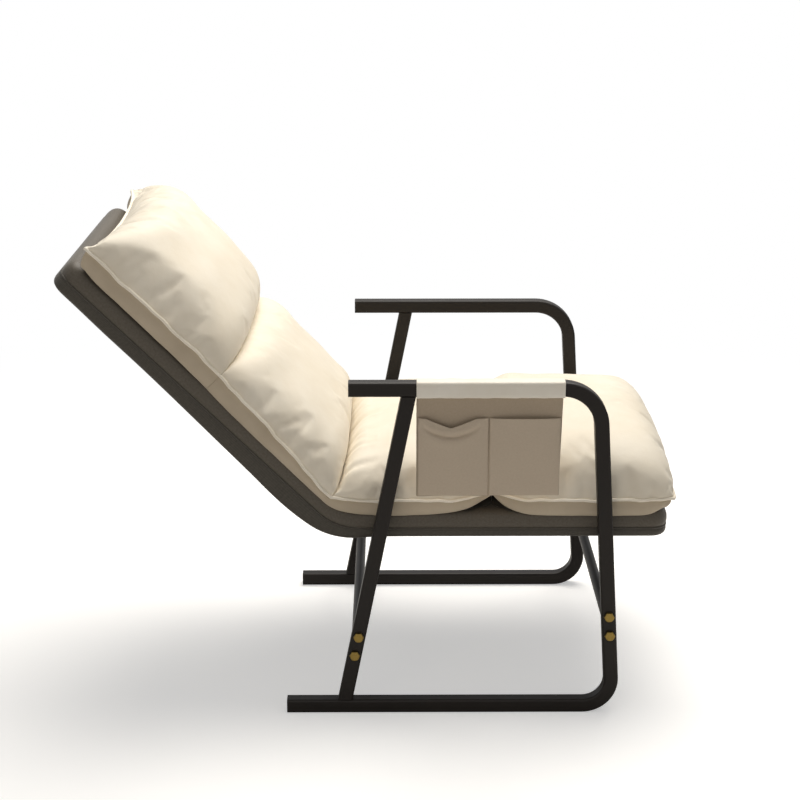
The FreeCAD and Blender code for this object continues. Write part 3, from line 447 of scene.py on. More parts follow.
@dataclass(frozen=True)
class CoatedCloth:
    """Soft coated microfibre cloth: a matt skin with a fine pebble grain and a faint sheen."""

    name: str
    colour: str
    shade: str
    roughness: float = 0.62
    sheen: float = 0.15
    grain_mm: float = 2.2
    grain_depth: float = 0.12
    mottle_mm: float = 90.0
    soft_mm: float = 14.0

    def build(self) -> Material:
        """Make the material."""
        recipe = Recipe(self.name)
        place = recipe.place()
        mottle = recipe.noise(place, cells(self.mottle_mm), 4.0, Roughness=0.6)
        spread = recipe.add("MapRange", {0: mottle, 1: 0.35, 2: 0.7})
        recipe.colours(spread.outputs[0], self.colour, self.shade)
        # The real grain is about 0.4 mm; it is drawn coarser so that it shows.
        grain = {"Vector": place, "Scale": cells(self.grain_mm)}
        pebble = recipe.add("TexVoronoi", grain, feature="SMOOTH_F1").outputs["Distance"]
        soft = recipe.noise(place, cells(self.soft_mm), 3.0)
        both = {0: pebble, 1: self.grain_depth, 2: soft}
        height = recipe.add("Math", both, operation="MULTIPLY_ADD")
        recipe.bump(height.outputs[0], strength=0.3, distance=0.0012)
        recipe.roughness(soft, self.roughness - 0.07, self.roughness + 0.07)
        recipe.fixed(
            {"Sheen Weight": self.sheen, "Sheen Roughness": 0.45, "Specular IOR Level": 0.35}
        )
        return recipe.material


@dataclass(frozen=True)
class WovenCloth:
    """Plain-woven polyester: crossing threads with small differences from thread to thread."""

    name: str
    colour: str
    thread: str
    roughness: float = 0.7
    sheen: float = 0.2
    thread_mm: float = 1.6
    slub_scale: float = 260.0

    def build(self) -> Material:
        """Make the material."""
        recipe = Recipe(self.name)
        cloth = recipe.add("UVMap", uv_map="cloth").outputs["UV"]
        # A Wave node has one band in about 0.314 units.
        # The real thread is 0.5 mm; it is drawn coarser so that it shows.
        bands = {"Vector": cloth, "Scale": 0.314 / (self.thread_mm * MM), "Distortion": 0.6}
        warp, weft = (
            recipe.add("TexWave", bands, bands_direction=way).outputs["Fac"] for way in "XY"
        )
        weave = recipe.add("Math", {0: warp, 1: weft}, operation="MULTIPLY").outputs[0]
        slub = recipe.noise(cloth, self.slub_scale, 2.0)
        tone = recipe.add("Math", {0: weave, 1: 0.5, 2: slub}, operation="MULTIPLY_ADD")
        spread = recipe.add("MapRange", {0: tone.outputs[0], 1: 0.35, 2: 1.0})
        recipe.colours(spread.outputs[0], self.colour, self.thread)
        recipe.bump(weave, strength=0.25, distance=0.0005)
        recipe.roughness(slub, self.roughness - 0.08, self.roughness + 0.08)
        recipe.fixed(
            {"Sheen Weight": self.sheen, "Sheen Roughness": 0.4, "Specular IOR Level": 0.35}
        )
        return recipe.material


class Palette:
    """All finishes of the chair, made once."""

    def __init__(self) -> None:
        """Make every material."""
        self.frame = PowderCoat().build()
        self.brass = PlatedMetal("yellow_zinc_plated_steel", "#a68d4d", "#806b3b", 0.34).build()
        self.steel = PlatedMetal("bright_zinc_plated_steel", "#b9bcbf", "#9b9ea2", 0.34).build()
        self.plastic = MouldedPlastic().build()
        self.cushion = CoatedCloth("cream_coated_microfibre", "#f1e9d9", "#eae0cd").build()
        # Painted highlight: the piping is a lighter copy of the cream cloth, standing in for the light
        # its rounded top catches.
        self.piping = CoatedCloth("cream_piping_cord_painted_highlight", "#fbf4e6", "#f3e9d6", grain_mm=1.2).build()
        # Painted shade: a darker copy of the cream cloth for the mattress's walls below the piping,
        # standing in for the shade on them as they face down and out.
        self.painted_shade_wall = CoatedCloth("cream_coated_microfibre_painted_shade", "#c6b8a2", "#baac96").build()
        self.shell = WovenCloth("olive_grey_woven_polyester", "#534d43", "#665f55", 0.46).build()
        # Painted shade: a darker copy of the olive-grey cloth, for the shell's lower band and underside
        # that face down, and for the shadowed hollows under the mattress's lobes.
        self.painted_shade_under = WovenCloth("olive_woven_polyester_painted_shade", "#423e36", "#514c44", 0.5).build()
        self.sleeve = CoatedCloth("pale_coated_cloth", "#f6f1e6", "#efe8da", 0.5).build()
        taupe = WovenCloth("taupe_woven_polyester", "#c4b5a1", "#ccbdaa", thread_mm=1.4)
        # Painted shade: a darker copy of the pockets' taupe cloth for the panel, standing in for the
        # shade on it under the sleeve and behind the pockets.
        shaded_taupe = WovenCloth("taupe_woven_polyester_painted_shade", "#b0a08b", "#b9a995", thread_mm=1.4)
        self.panel = shaded_taupe.build()
        self.pocket = taupe.build()


# --- mattress ----------------------------------------------------------------


# Length, turning speed and share of each wave along a lobe's edge.
EDGE_WAVES = ((0.118, 1.0, 0.50), (0.067, 2.3, 0.32), (0.039, 3.1, 0.18))
# What makes the waves of the lobes, of the two sides, and across and up differ.
SEED_TURN = 1.7
SIDE_SALTS = (0.0, 2.0)
UP_SALT = 5
# Samples along a lobe's profile and across it, before they are spread evenly.
LINE_SAMPLES = 4001
ARC_SAMPLES = 721
# Inset across, inset at a free end and share of the fall, for each ring of a lobe's wall.
WALL_PLAN = (
    (0.0030, 0.0045, 0.09),
    (0.0012, 0.005, 0.24),
    (0.0006, 0.007, 0.50),
    (0.0024, 0.011, 0.76),
    (0.0052, 0.015, 0.94),
    (0.0085, 0.019, 1.0),
)
FILL_FRAMES = 20
FILLED_CLOTH = {
    "quality": 5,
    "mass": 0.25,
    "tension_stiffness": 18,
    "compression_stiffness": 18,
    "shear_stiffness": 6,
    "bending_stiffness": 0.35,
    "use_pressure": True,
}


@dataclass(frozen=True)
class LobeEnd:
    """One end of a lobe.

    Attributes:
        kind: how it ends.
        place: along the pad at piping height.
        level: height of the end's line above the pad at the middle of the chair.
        roll: length over which the crown rolls down.
        power: fullness of the roll.
        pinch: how much the piping is drawn in.
        lift: how much the piping rises.
        lift_reach: length over which that rise dies away.
        lip_lift: how much the lower edge rises.
        lip_reach: length over which that rise dies away.
        lean: shift along the pad for each unit of height above the end's line.
        wall_lean: the same below the end's line.
        pull: how far the end is drawn in between its corners.
        ear: how far the corners stand out.
    """

    kind: EndKind
    place: float
    level: float
    roll: float
    power: float
    pinch: float = 0.0
    lift: float = 0.0
    lift_reach: float = 0.045
    lip_lift: float = 0.0
    lip_reach: float = 0.03
    lean: float = 0.0
    wall_lean: float | None = None
    pull: float = 0.0
    ear: float = 0.0

    @property
    def low_lean(self) -> float:
        """Lean below the end's line."""
        return self.lean if self.wall_lean is None else self.wall_lean

    def shift(self, height: np.ndarray, base: float) -> np.ndarray:
        """Shift along the pad at a height, where none is wanted at the base height."""
        above = np.maximum(height - self.level, 0.0)
        return self.low_lean * (height - above - base) + self.lean * above


@dataclass(frozen=True)
class Fold:
    """A soft crease in the top of a lobe, from one point to another (along, across)."""

    start: tuple[float, float]
    end: tuple[float, float]
    width: float = 0.006
    depth: float = 0.003
    # Height of the swelling beside the crease, its distance and its width, as shares.
    swell: float = 0.45
    swell_place: float = 2.1
    swell_width: float = 1.3
    # Share of the length in which it sets in, and how deep it is at its very start.
    onset: float = 0.05
    onset_depth: float = 0.4

    def fade(self, share: np.ndarray) -> np.ndarray:
        """How much of the depth is left at a share of the way from start to end."""
        return (1 - smoothstep(share)) * smoothstep(share / self.onset + self.onset_depth)

    def relief(self, away: np.ndarray) -> np.ndarray:
        """Height of the crease and its swelling at a distance from its line."""
        beside = (away - self.swell_place * self.width) / (self.swell_width * self.width)
        press = self.depth * np.exp(-((away / self.width) ** 2))
        return self.swell * self.depth * np.exp(-(beside**2)) - press


@dataclass
class Lobe:
    """One stuffed lobe of the mattress."""

    name: str
    node: str
    pad: PadFrame
    body: Body
    near: LobeEnd
    far: LobeEnd
    crown: float
    fill: float
    squashed: bool = False
    near_crown: float = 0.0
    seed: int = 1
    folds: tuple[Fold, ...] = ()
    rows: int = 64
    columns: int = 96
    half_width: float = 0.2645
    piping_height: float = 0.0493
    lip_height: float = 0.0133
    sole_height: float = 0.0253
    pad_half: float = 0.258
    growth: float = 0.035
    pressure: float = 4.0
    cap: float = 0.026
    piping_radius: float = 0.0029
    piping_out: float = 0.0008
    end_reach: float = 0.0125
    # Size of the edge's waves, across and up.
    wave_across: float = 0.0012
    wave_up: float = 0.0022
    # Lengths over which the waves, pinch, lean, pull and ears die away from an end.
    wave_reach: float = 0.03
    pinch_reach: float = 0.034
    lean_reach: float = 0.09
    pull_reach: float = 0.05
    ear_reach: float = 0.03
    # Share of the length in which the top rises from near_crown to crown.
    rise_share: float = 0.55
    fullness: float = 2.5
    # What is left of the filling's movement at a pressed or sewn end, and over what length.
    quiet: float = 0.25
    quiet_reach: float = 0.06
    least_rise: float = 0.004
    rise_limits: tuple[float, float] = (0.75, 1.35)
    smoothing: int = 9
    # Height above the piping at which a fold is pressed in full.
    fold_rise: float = 0.012
    # Shares of the half width: where the wall starts to hang over the pad's side, and how soon.
    side_from: float = 0.86
    side_blend: float = 0.12
    # Lengths of the tuck under the wall and of the sole on the pad.
    end_clear: float = 0.0005
    sole_inset: float = 0.02
    sole_back: float = 0.03
    tuck_out: float = 0.012
    tuck_depth: float = 0.0035
    least_hollow: float = 0.001
    hollow_step: float = 0.0004

    @property
    def length(self) -> float:
        """Length of the lobe at piping height."""
        return self.far.place - self.near.place

    def bump(self, distance: np.ndarray, reach: float) -> np.ndarray:
        """A soft hump that is 1 at distance 0."""
        return np.exp(-((distance / reach) ** 2))

    def wave(self, place: np.ndarray, size: float, salt: float) -> np.ndarray:
        """A small irregular wave along the edge."""
        turn = self.seed * SEED_TURN + salt
        return size * sum(
            share * np.sin(place * 2 * math.pi / length + speed * turn)
            for length, speed, share in EDGE_WAVES
        )

    def edge_fade(self, a: np.ndarray) -> np.ndarray:
        """Fade to 0 at both ends, so that neighbours' edges meet."""
        b = self.length - a
        return smoothstep(a / self.wave_reach) * smoothstep(b / self.wave_reach)

    def edge_width(self, a: np.ndarray, salt: float) -> np.ndarray:
        """Half width at the piping, by distance from the near end."""
        b = self.length - a
        drawn = self.near.pinch * self.bump(a, self.pinch_reach)
        drawn = drawn + self.far.pinch * self.bump(b, self.pinch_reach)
        return self.half_width - drawn + self.wave(a, self.wave_across, salt) * self.edge_fade(a)

    def edge_height(self, a: np.ndarray, salt: float) -> np.ndarray:
        """Height of the piping, by distance from the near end."""
        b = self.length - a
        risen = self.near.lift * self.bump(a, self.near.lift_reach)
        risen = risen + self.far.lift * self.bump(b, self.far.lift_reach)
        wave = self.wave(a, self.wave_up, salt + UP_SALT) * self.edge_fade(a)
        return self.piping_height + risen + wave

    def lip(self, a: np.ndarray) -> np.ndarray:
        """Height of the lower edge, by distance from the near end."""
        b = self.length - a
        rise = self.near.lip_lift * np.exp(-a / self.near.lip_reach)
        return self.lip_height + rise + self.far.lip_lift * np.exp(-b / self.far.lip_reach)

    def roll_of(self, distance: np.ndarray, end: LobeEnd) -> np.ndarray:
        """Share of the crown's rise reached at a distance from an end."""
        left = np.clip(1 - distance / end.roll, 0.0, 1.0)
        return np.clip(1 - left**end.power, 0.0, 1.0) ** (1 / end.power)

    def centre_line(self, a: np.ndarray) -> np.ndarray:
        """Height of the top along the middle of the chair."""
        b = self.length - a
        share = a / self.length
        low = self.near.level * (1 - share) + self.far.level * share
        lower = self.crown - self.near_crown if self.near_crown else 0.0
        lower = lower * (1 - smoothstep(a / (self.rise_share * self.length)))
        top = self.sole_height + self.crown - lower
        return low + (top - low) * self.roll_of(a, self.near) * self.roll_of(b, self.far)

    def stations(self) -> np.ndarray:
        """Distances from the near end, evenly spread along the top's profile."""
        share = (1 - np.cos(np.linspace(0, math.pi, LINE_SAMPLES))) / 2
        a = share * self.length
        steps = np.hypot(np.diff(a), np.diff(self.centre_line(a)))
        run = np.concatenate(([0.0], np.cumsum(steps)))
        return np.interp(np.linspace(0, run[-1], self.rows + 1), run, a)

    def upper_panel(self) -> np.ndarray:
        """Places of the top's grid, rows by columns, as (along, across, up)."""
        a = self.stations()
        b = self.length - a
        turn = np.linspace(0, math.pi, ARC_SAMPLES)
        power = 2 / self.fullness
        c, s = np.cos(turn), np.clip(np.sin(turn), 0, 1)
        grid = np.zeros((len(a), self.columns + 1, 3))
        middle = self.centre_line(a)
        for i, (from_near, from_far) in enumerate(zip(a, b)):
            widths = [self.edge_width(from_near, salt) for salt in SIDE_SALTS]
            lows = [self.edge_height(from_near, salt) for salt in SIDE_SALTS]
            width = np.where(c > 0, *widths)
            low = np.where(c > 0, *lows)
            low = low + (lows[1] - lows[0]) * (smoothstep((1 - c) / 2) - (c <= 0))
            y = -np.sign(c) * np.abs(c) ** power * width
            h = low + np.maximum(middle[i] - low, 0.0) * s**power
            run = np.concatenate(([0.0], np.cumsum(np.hypot(np.diff(y), np.diff(h)))))
            even = np.linspace(0, run[-1], self.columns + 1)
            grid[i, :, 1] = np.interp(even, run, y)
            grid[i, :, 2] = np.interp(even, run, h)
            across = np.abs(grid[i, :, 1]) / self.half_width
            shift = np.zeros(self.columns + 1)
            for end, gone, sign in ((self.near, from_near, 1.0), (self.far, from_far, -1.0)):
                fade = self.bump(gone, self.lean_reach)
                shift += end.shift(grid[i, :, 2], self.piping_height) * fade
                corner = self.bump(gone, self.pull_reach)
                shift += sign * end.pull * (1 - across**2) * corner
                shift -= sign * end.ear * across**10 * self.bump(gone, self.ear_reach)
            grid[i, :, 0] = self.near.place + from_near + shift
        return grid

    def panel_faces(self) -> list[tuple[int, int, int, int]]:
        """Faces of the top's grid, pointing up from the pad."""
        faces = grid_faces(self.rows, self.columns)
        turned = np.cross(self.pad.along, (0.0, 1.0, 0.0)) @ np.array(self.pad.up) < 0
        return [face[::-1] for face in faces] if turned else faces

    def settle(self, grid: np.ndarray) -> np.ndarray:
        """Blow the top up as sewn cloth with slack, and let it wrinkle at its seams.

        Args:
            grid: the top's grid before filling.

        Returns:
            The grid after filling.
        """
        places = self.pad.world(grid.reshape(-1, 3))
        cloth = mesh_object(f"{self.name}_blank", places, self.panel_faces())
        sewn = cloth.vertex_groups.new(name="sewn")
        sewn.add(self.rim()[0].tolist(), 1.0, "REPLACE")
        filling = cloth.modifiers.new("filling", "CLOTH")
        for name, value in FILLED_CLOTH.items():
            setattr(filling.settings, name, value)
        filling.settings.uniform_pressure_force = self.pressure
        filling.settings.vertex_group_mass = sewn.name
        filling.settings.shrink_min = -self.growth
        filling.settings.effector_weights.gravity = 0.0
        filling.collision_settings.use_collision = False
        filling.point_cache.frame_start = 1
        filling.point_cache.frame_end = FILL_FRAMES
        scene = bpy.context.scene
        for frame in range(1, FILL_FRAMES + 1):
            scene.frame_set(frame)
        apply_modifier(cloth, filling)
        scene.frame_set(1)
        found = np.zeros(len(cloth.data.vertices) * 3)
        cloth.data.vertices.foreach_get("co", found)
        mesh = cloth.data
        bpy.data.objects.remove(cloth)
        bpy.data.meshes.remove(mesh)
        return self.pad.local(found.reshape(-1, 3)).reshape(grid.shape)

    def filled(self, grid: np.ndarray) -> np.ndarray:
        """The top with its filling: capped movement, quiet ends, and the crown as planned."""
        moved = self.settle(grid) - grid
        size = np.linalg.norm(moved, axis=2, keepdims=True)
        moved *= np.minimum(1.0, self.cap / np.maximum(size, TINY))
        a = self.stations()
        for end, gone in ((self.near, a), (self.far, self.length - a)):
            if end.kind is not EndKind.FREE:
                freed = (1 - self.quiet) * smoothstep(gone / self.quiet_reach)
                moved *= (self.quiet + freed)[:, None, None]
        out = grid + moved
        rise = out[:, :, 2] - self.piping_height
        planned = grid[:, :, 2].max(axis=1) - self.piping_height
        wanted = np.maximum(planned, self.least_rise)
        reached = np.maximum(rise.max(axis=1), self.least_rise)
        scale = np.clip(wanted / reached, *self.rise_limits)
        soft = np.hanning(self.smoothing)
        padded = np.pad(scale, self.smoothing // 2, mode="edge")
        scale = np.convolve(padded, soft / soft.sum(), mode="valid")
        out[:, :, 2] = self.piping_height + np.where(rise > 0, rise * scale[:, None], rise)
        return out

    def creased(self, grid: np.ndarray) -> np.ndarray:
        """Press the folds into the top."""
        out = grid.copy()
        edge = np.gradient(grid, axis=0)
        side = np.gradient(grid, axis=1)
        normal = np.cross(edge, side)
        normal /= np.maximum(np.linalg.norm(normal, axis=2, keepdims=True), TINY)
        for fold in self.folds:
            p = np.array(fold.start)
            q = np.array(fold.end)
            d = q - p
            flat = grid[:, :, :2] - p
            share = np.clip(flat @ d / (d @ d), 0, 1)
            away = np.linalg.norm(flat - share[..., None] * d, axis=2)
            top = smoothstep((grid[:, :, 2] - self.piping_height) / self.fold_rise)
            out += normal * (fold.fade(share) * top * fold.relief(away))[..., None]
        return out

    def rim(self) -> tuple[np.ndarray, np.ndarray]:
        """The sewn edge of the top.

        Returns:
            The vertex numbers round the edge, and their distance from the near end.
        """
        wide = self.columns + 1
        right = [i * wide for i in range(self.rows + 1)]
        far = [self.rows * wide + j for j in range(1, wide)]
        left = [i * wide + self.columns for i in range(self.rows - 1, -1, -1)]
        near = list(range(self.columns - 1, 0, -1))
        order = np.array(right + far + left + near)
        return order, self.stations()[order // wide]

    def lower_rings(self, ring: np.ndarray, gone: np.ndarray) -> list[np.ndarray]:
        """Rings of the wall below the piping and round the pad's edge."""
        centre = self.near.place + self.length / 2
        far_share = np.clip((ring[:, 0] - centre) / (self.length / 2), 0, 1)
        free = self.far.kind is EndKind.FREE
        across = np.abs(ring[:, 1]) / self.half_width
        side = smoothstep((across - self.side_from) / self.side_blend)
        floor = self.sole_height * (1 - side) + self.lip(gone) * side
        if free:
            at_end = self.bump(self.length - gone, self.ear_reach)
            clear = np.maximum(floor, self.sole_height + self.end_clear)
            floor = floor * (1 - at_end) + clear * at_end
        rings = []
        top = ring[:, 2]
        for inset, tucked, share in WALL_PLAN:
            out = ring.copy()
            out[:, 1] -= np.sign(ring[:, 1]) * inset * smoothstep(across * 1.2)
            if free:
                out[:, 0] -= tucked * far_share**6
            out[:, 2] = top + (floor - top) * share
            if self.near.kind is EndKind.CREASE:
                back = np.maximum(self.near.low_lean * (out[:, 2] - top), -self.end_reach)
                out[:, 0] += back * self.bump(gone, self.pull_reach)
            rings.append(out)
        tuck = rings[-1].copy()
        limit = self.pad_half - self.sole_inset
        hollow = np.maximum(floor - self.sole_height, 0.0)
        reach = limit + self.tuck_out - 0.2 * hollow
        tuck[:, 1] = np.clip(tuck[:, 1], -reach, reach)
        sunk = floor * 0.4 + self.sole_height * 0.6
        tuck[:, 2] = np.maximum(self.sole_height - self.tuck_depth, sunk)
        hung = hollow > self.least_hollow
        tuck[:, 2] = np.where(hung, floor - self.hollow_step, tuck[:, 2])
        sole = tuck.copy()
        reach = limit - 1.5 * hollow
        sole[:, 1] = np.clip(sole[:, 1], -reach, reach)
        sole[:, 2] = self.sole_height + 0.75 * hollow
        if free:
            sole[:, 0] = np.minimum(sole[:, 0], self.far.place - self.sole_back)
        return [*rings, tuck, sole]

    def sole_grid(self, ring: np.ndarray) -> np.ndarray:
        """Fill the last ring's inside with a grid that stays above the pad."""
        right, far, left, near = four_sides(ring, self.rows, self.columns)
        grid = blend_sides(right, left, near, far)
        grid[:, :, 2] = np.maximum(grid[:, :, 2], self.sole_height)
        return grid

    def build(self, palette: Palette) -> tuple[Object, list[np.ndarray]]:
        """Make the lobe and set it on its body.

        Args:
            palette: the chair's finishes.

        Returns:
            The object, and the runs of its piping in the pad's frame.
        """
        grid = self.creased(self.filled(self.upper_panel()))
        rows, columns = self.rows, self.columns
        top = grid.reshape(-1, 3)
        faces = self.panel_faces()
        order, gone = self.rim()
        rings = self.lower_rings(top[order], gone)
        last = order
        size = len(order)
        for k in range(len(rings)):
            fresh = len(top) + k * size + np.arange(size)
            faces += [(last[i], fresh[i], fresh[i - 1], last[i - 1]) for i in range(size)]
            last = fresh
        number = np.full((rows + 1, columns + 1), -1)
        number.flat[order] = last
        inner = number_inside(number, self.sole_grid(rings[-1]), last[-1] + 1)
        faces += [
            (number[i, j], number[i, j + 1], number[i + 1, j + 1], number[i + 1, j])
            for i in range(rows)
            for j in range(columns)
        ]
        faces = [tuple(int(k) for k in face) for face in faces]
        lobe = mesh_object(self.name, self.pad.world(np.concatenate((top, *rings, inner))), faces)
        # Painted shade: the walls below the piping take a darker copy of the cream cloth, and the tuck
        # and sole take the dark painted-shade cloth for the shadow in the hollows under the lobes.
        for finish in (palette.cushion, palette.painted_shade_wall, palette.painted_shade_under):
            lobe.data.materials.append(finish)
        wall = rows * columns
        sole = wall + len(WALL_PLAN) * size
        finishes = [int(k >= wall) + int(k >= sole) for k in range(len(faces))]
        lobe.data.polygons.foreach_set("material_index", finishes)
        recalculate(lobe)
        subdivide(lobe)
        self.set_on_body(lobe)
        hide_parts(self.node)
        return lobe, self.piping_runs(grid)

    def set_on_body(self, obj: Object) -> None:
        """Let a piece ride on the lobe's body."""
        if self.squashed:
            foot = self.pad.world(np.array([[0.0, 0.0, self.sole_height]]))[0]
            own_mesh(obj)
        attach(obj, self.body.value)

    def piping_runs(self, grid: np.ndarray) -> list[np.ndarray]:
        """The lines that the piping follows: both sides, and a free end with them."""
        right = grid[:, 0].copy()
        left = grid[:, -1].copy()
        right[:, 1] -= self.piping_out
        left[:, 1] += self.piping_out
        if self.far.kind is EndKind.FREE:
            end = grid[-1, 1:-1] + np.array((self.piping_out, 0, 0))
            return [np.concatenate((right, end, left[::-1]))]
        return [right, left]

    def build_piping(self, runs: list[np.ndarray], palette: Palette) -> Object:
        """Make the cord that is sewn in along the lobe's edge."""
        curve = bpy.data.curves.new(f"{self.name}_piping", "CURVE")
        curve.dimensions = "3D"
        curve.bevel_depth = self.piping_radius
        curve.bevel_resolution = 2
        curve.use_fill_caps = True
        for run in runs:
            places = self.pad.world(run)
            spline = curve.splines.new("POLY")
            spline.points.add(len(places) - 1)
            for point, place in zip(spline.points, places):
                point.co = (*place, 1.0)
        piping = bpy.data.objects.new(f"{self.name}_piping", curve)
        bpy.context.scene.collection.objects.link(piping)
        select_only(piping)
        bpy.ops.object.convert(target="MESH")
        piping = bpy.context.view_layer.objects.active
        select_only(piping)
        bpy.ops.object.shade_smooth()
        # The cord takes the lighter painted-highlight copy of the cream cloth.
        dress(piping, palette.piping)
        self.set_on_body(piping)
        return piping


@dataclass
class CreaseStrip:
    """The sewn strip that joins the seat's and the back's lobes down in the crease between them."""

    place: float = 0.0035
    level: float = 0.0667
    lean: float = 0.95
    half_thick: float = 0.009
    half_width: float = 0.2535
    bottom: float = 0.030
    side_drop: float = 0.0144
    lobe_half: float = 0.2645
    steps: int = 48
    # Height of the strip's top across its thickness, from the seat's side to the back's.
    tops: tuple[tuple[float, float], ...] = (
        (1.0, 0.0582),
        (0.55, 0.0575),
        (0.22, 0.0560),
        (0.0, 0.0539),
        (-0.22, 0.0560),
        (-0.55, 0.0575),
        (-1.0, 0.0582),
    )

    def drop(self, across: float) -> float:
        """How much lower the crease runs at a distance from the middle."""
        wide = min(abs(across) / self.lobe_half, 1.0) ** 1.25
        return self.side_drop * (1 - (1 - wide**2) ** 0.4)

    def point(self, share: float, height: float, across: float) -> tuple[float, float, float]:
        """A point of the strip in the seat's frame, by share of its thickness and by height."""
        size = math.hypot(self.lean, 1.0)
        step = share * self.half_thick / size
        along = self.place + self.lean * (height - self.level) + step
        return along, across, height - self.lean * step

    def build(self, palette: Palette) -> Object:
        """Make the strip between the seat and the backrest."""
        places = []
        for y in np.linspace(-self.half_width, self.half_width, self.steps + 1):
            places += [self.point(share, height - self.drop(y), y) for share, height in self.tops]
            places += [self.point(share, self.bottom, y) for share, _ in reversed(self.tops)]
        count = 2 * len(self.tops)
        faces = []
        for first in range(0, self.steps * count, count):
            for k in range(count):
                after = (k + 1) % count
                faces.append((first + k, first + after, first + count + after, first + count + k))
        faces += [tuple(range(count)), tuple(range(self.steps * count, len(places)))]
        strip = mesh_object("mattress_crease_strip", SEAT.world(np.array(places)), faces)
        recalculate(strip)
        dress(strip, palette.cushion)
        start, end = SEAT.world([self.point(share, self.level, 0.0) for share in (1.0, -1.0)])
        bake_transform(strip)
        return strip


@dataclass
class Mattress:
    """The one-piece mattress: four stuffed lobes with piping round their edge."""

    lobes: list[Lobe] = field(default_factory=list)

    def __post_init__(self) -> None:
        """Set out the four lobes along the two pads."""
        draw = random.Random(7)
        seat_seam = dict(kind=EndKind.SEAM, place=0.2696, level=0.0993, power=2.2, pinch=0.011)
        seat_seam |= dict(lift=0.009, lip_lift=0.040)
        back_seam = dict(kind=EndKind.SEAM, place=0.3296, level=0.0793, power=2.3, pinch=0.004)
        gathers = tuple(
            Fold(
                (0.012, k * 0.058 + draw.uniform(-0.012, 0.012)),
                (0.012 + draw.uniform(0.07, 0.13), k * 0.058 + draw.uniform(-0.03, 0.03)),
                width=draw.uniform(0.005, 0.008),
                depth=draw.uniform(0.003, 0.005),
            )
            for k in range(-4, 5)
        )
        self.lobes = [
            Lobe(
                "mattress_seat_rear",
                "seat_cushion_rear",
                SEAT,
                Body.BASE,
                LobeEnd(
                    EndKind.CREASE,
                    place=-0.0159,
                    level=0.0667,
                    roll=0.03,
                    power=3.2,
                    lift=0.006,
                    lift_reach=0.03,
                    lip_lift=0.0263,
                    lip_reach=0.029,
                    lean=0.433,
                    wall_lean=0.95,
                ),
                LobeEnd(roll=0.075, lip_reach=0.042, **seat_seam),
                crown=0.128,
                near_crown=0.110,
                fill=0.7,
                squashed=True,
                seed=1,
                piping_height=0.0463,
                folds=gathers,
            ),
            Lobe(
                "mattress_seat_front",
                "seat_cushion_front",
                SEAT,
                Body.BASE,
                LobeEnd(roll=0.08, lip_reach=0.025, **seat_seam),
                LobeEnd(
                    EndKind.FREE, 0.5880, 0.0463, 0.15, 2.9, pinch=0.009, pull=-0.002, ear=-0.004
                ),
                crown=0.140,
                fill=0.75,
                seed=2,
                piping_height=0.0463,
            ),
            Lobe(
                "mattress_back",
                "back_cushion",
                BACK,
                Body.BACKREST,
                LobeEnd(
                    EndKind.CREASE,
                    place=0.0447,
                    level=0.0493,
                    roll=0.06,
                    power=2.7,
                    lift=-0.0195,
                    lift_reach=0.125,
                    lean=0.3545,
                    wall_lean=0.025,
                ),
                LobeEnd(roll=0.07, lift=0.004, lip_lift=0.005, lip_reach=0.08, **back_seam),
                crown=0.104,
                near_crown=0.098,
                fill=0.7,
                squashed=True,
                seed=3,
                lip_height=0.0115,
            ),
            Lobe(
                "mattress_head",
                "head_cushion",
                BACK,
                Body.BACKREST,
                LobeEnd(
                    roll=0.15,
                    lift=-0.0037,
                    lip_lift=-0.0055,
                    lip_reach=0.06,
                    lean=-0.16,
                    **back_seam,
                ),
                LobeEnd(EndKind.FREE, 0.6296, 0.057, 0.14, 3.5, pinch=0.001, pull=0.014, ear=0.009),
                crown=0.138,
                fill=0.8,
                seed=4,
                piping_height=0.057,
                lip_height=0.022,
            ),
        ]

    def build(self, palette: Palette) -> None:
        """Make the lobes, their piping and the strip between seat and back."""
        for lobe in self.lobes:
            obj, runs = lobe.build(palette)
            log_size(obj)
            log_size(lobe.build_piping(runs, palette))
        log_size(CreaseStrip().build(palette))


# --- shell -------------------------------------------------------------------


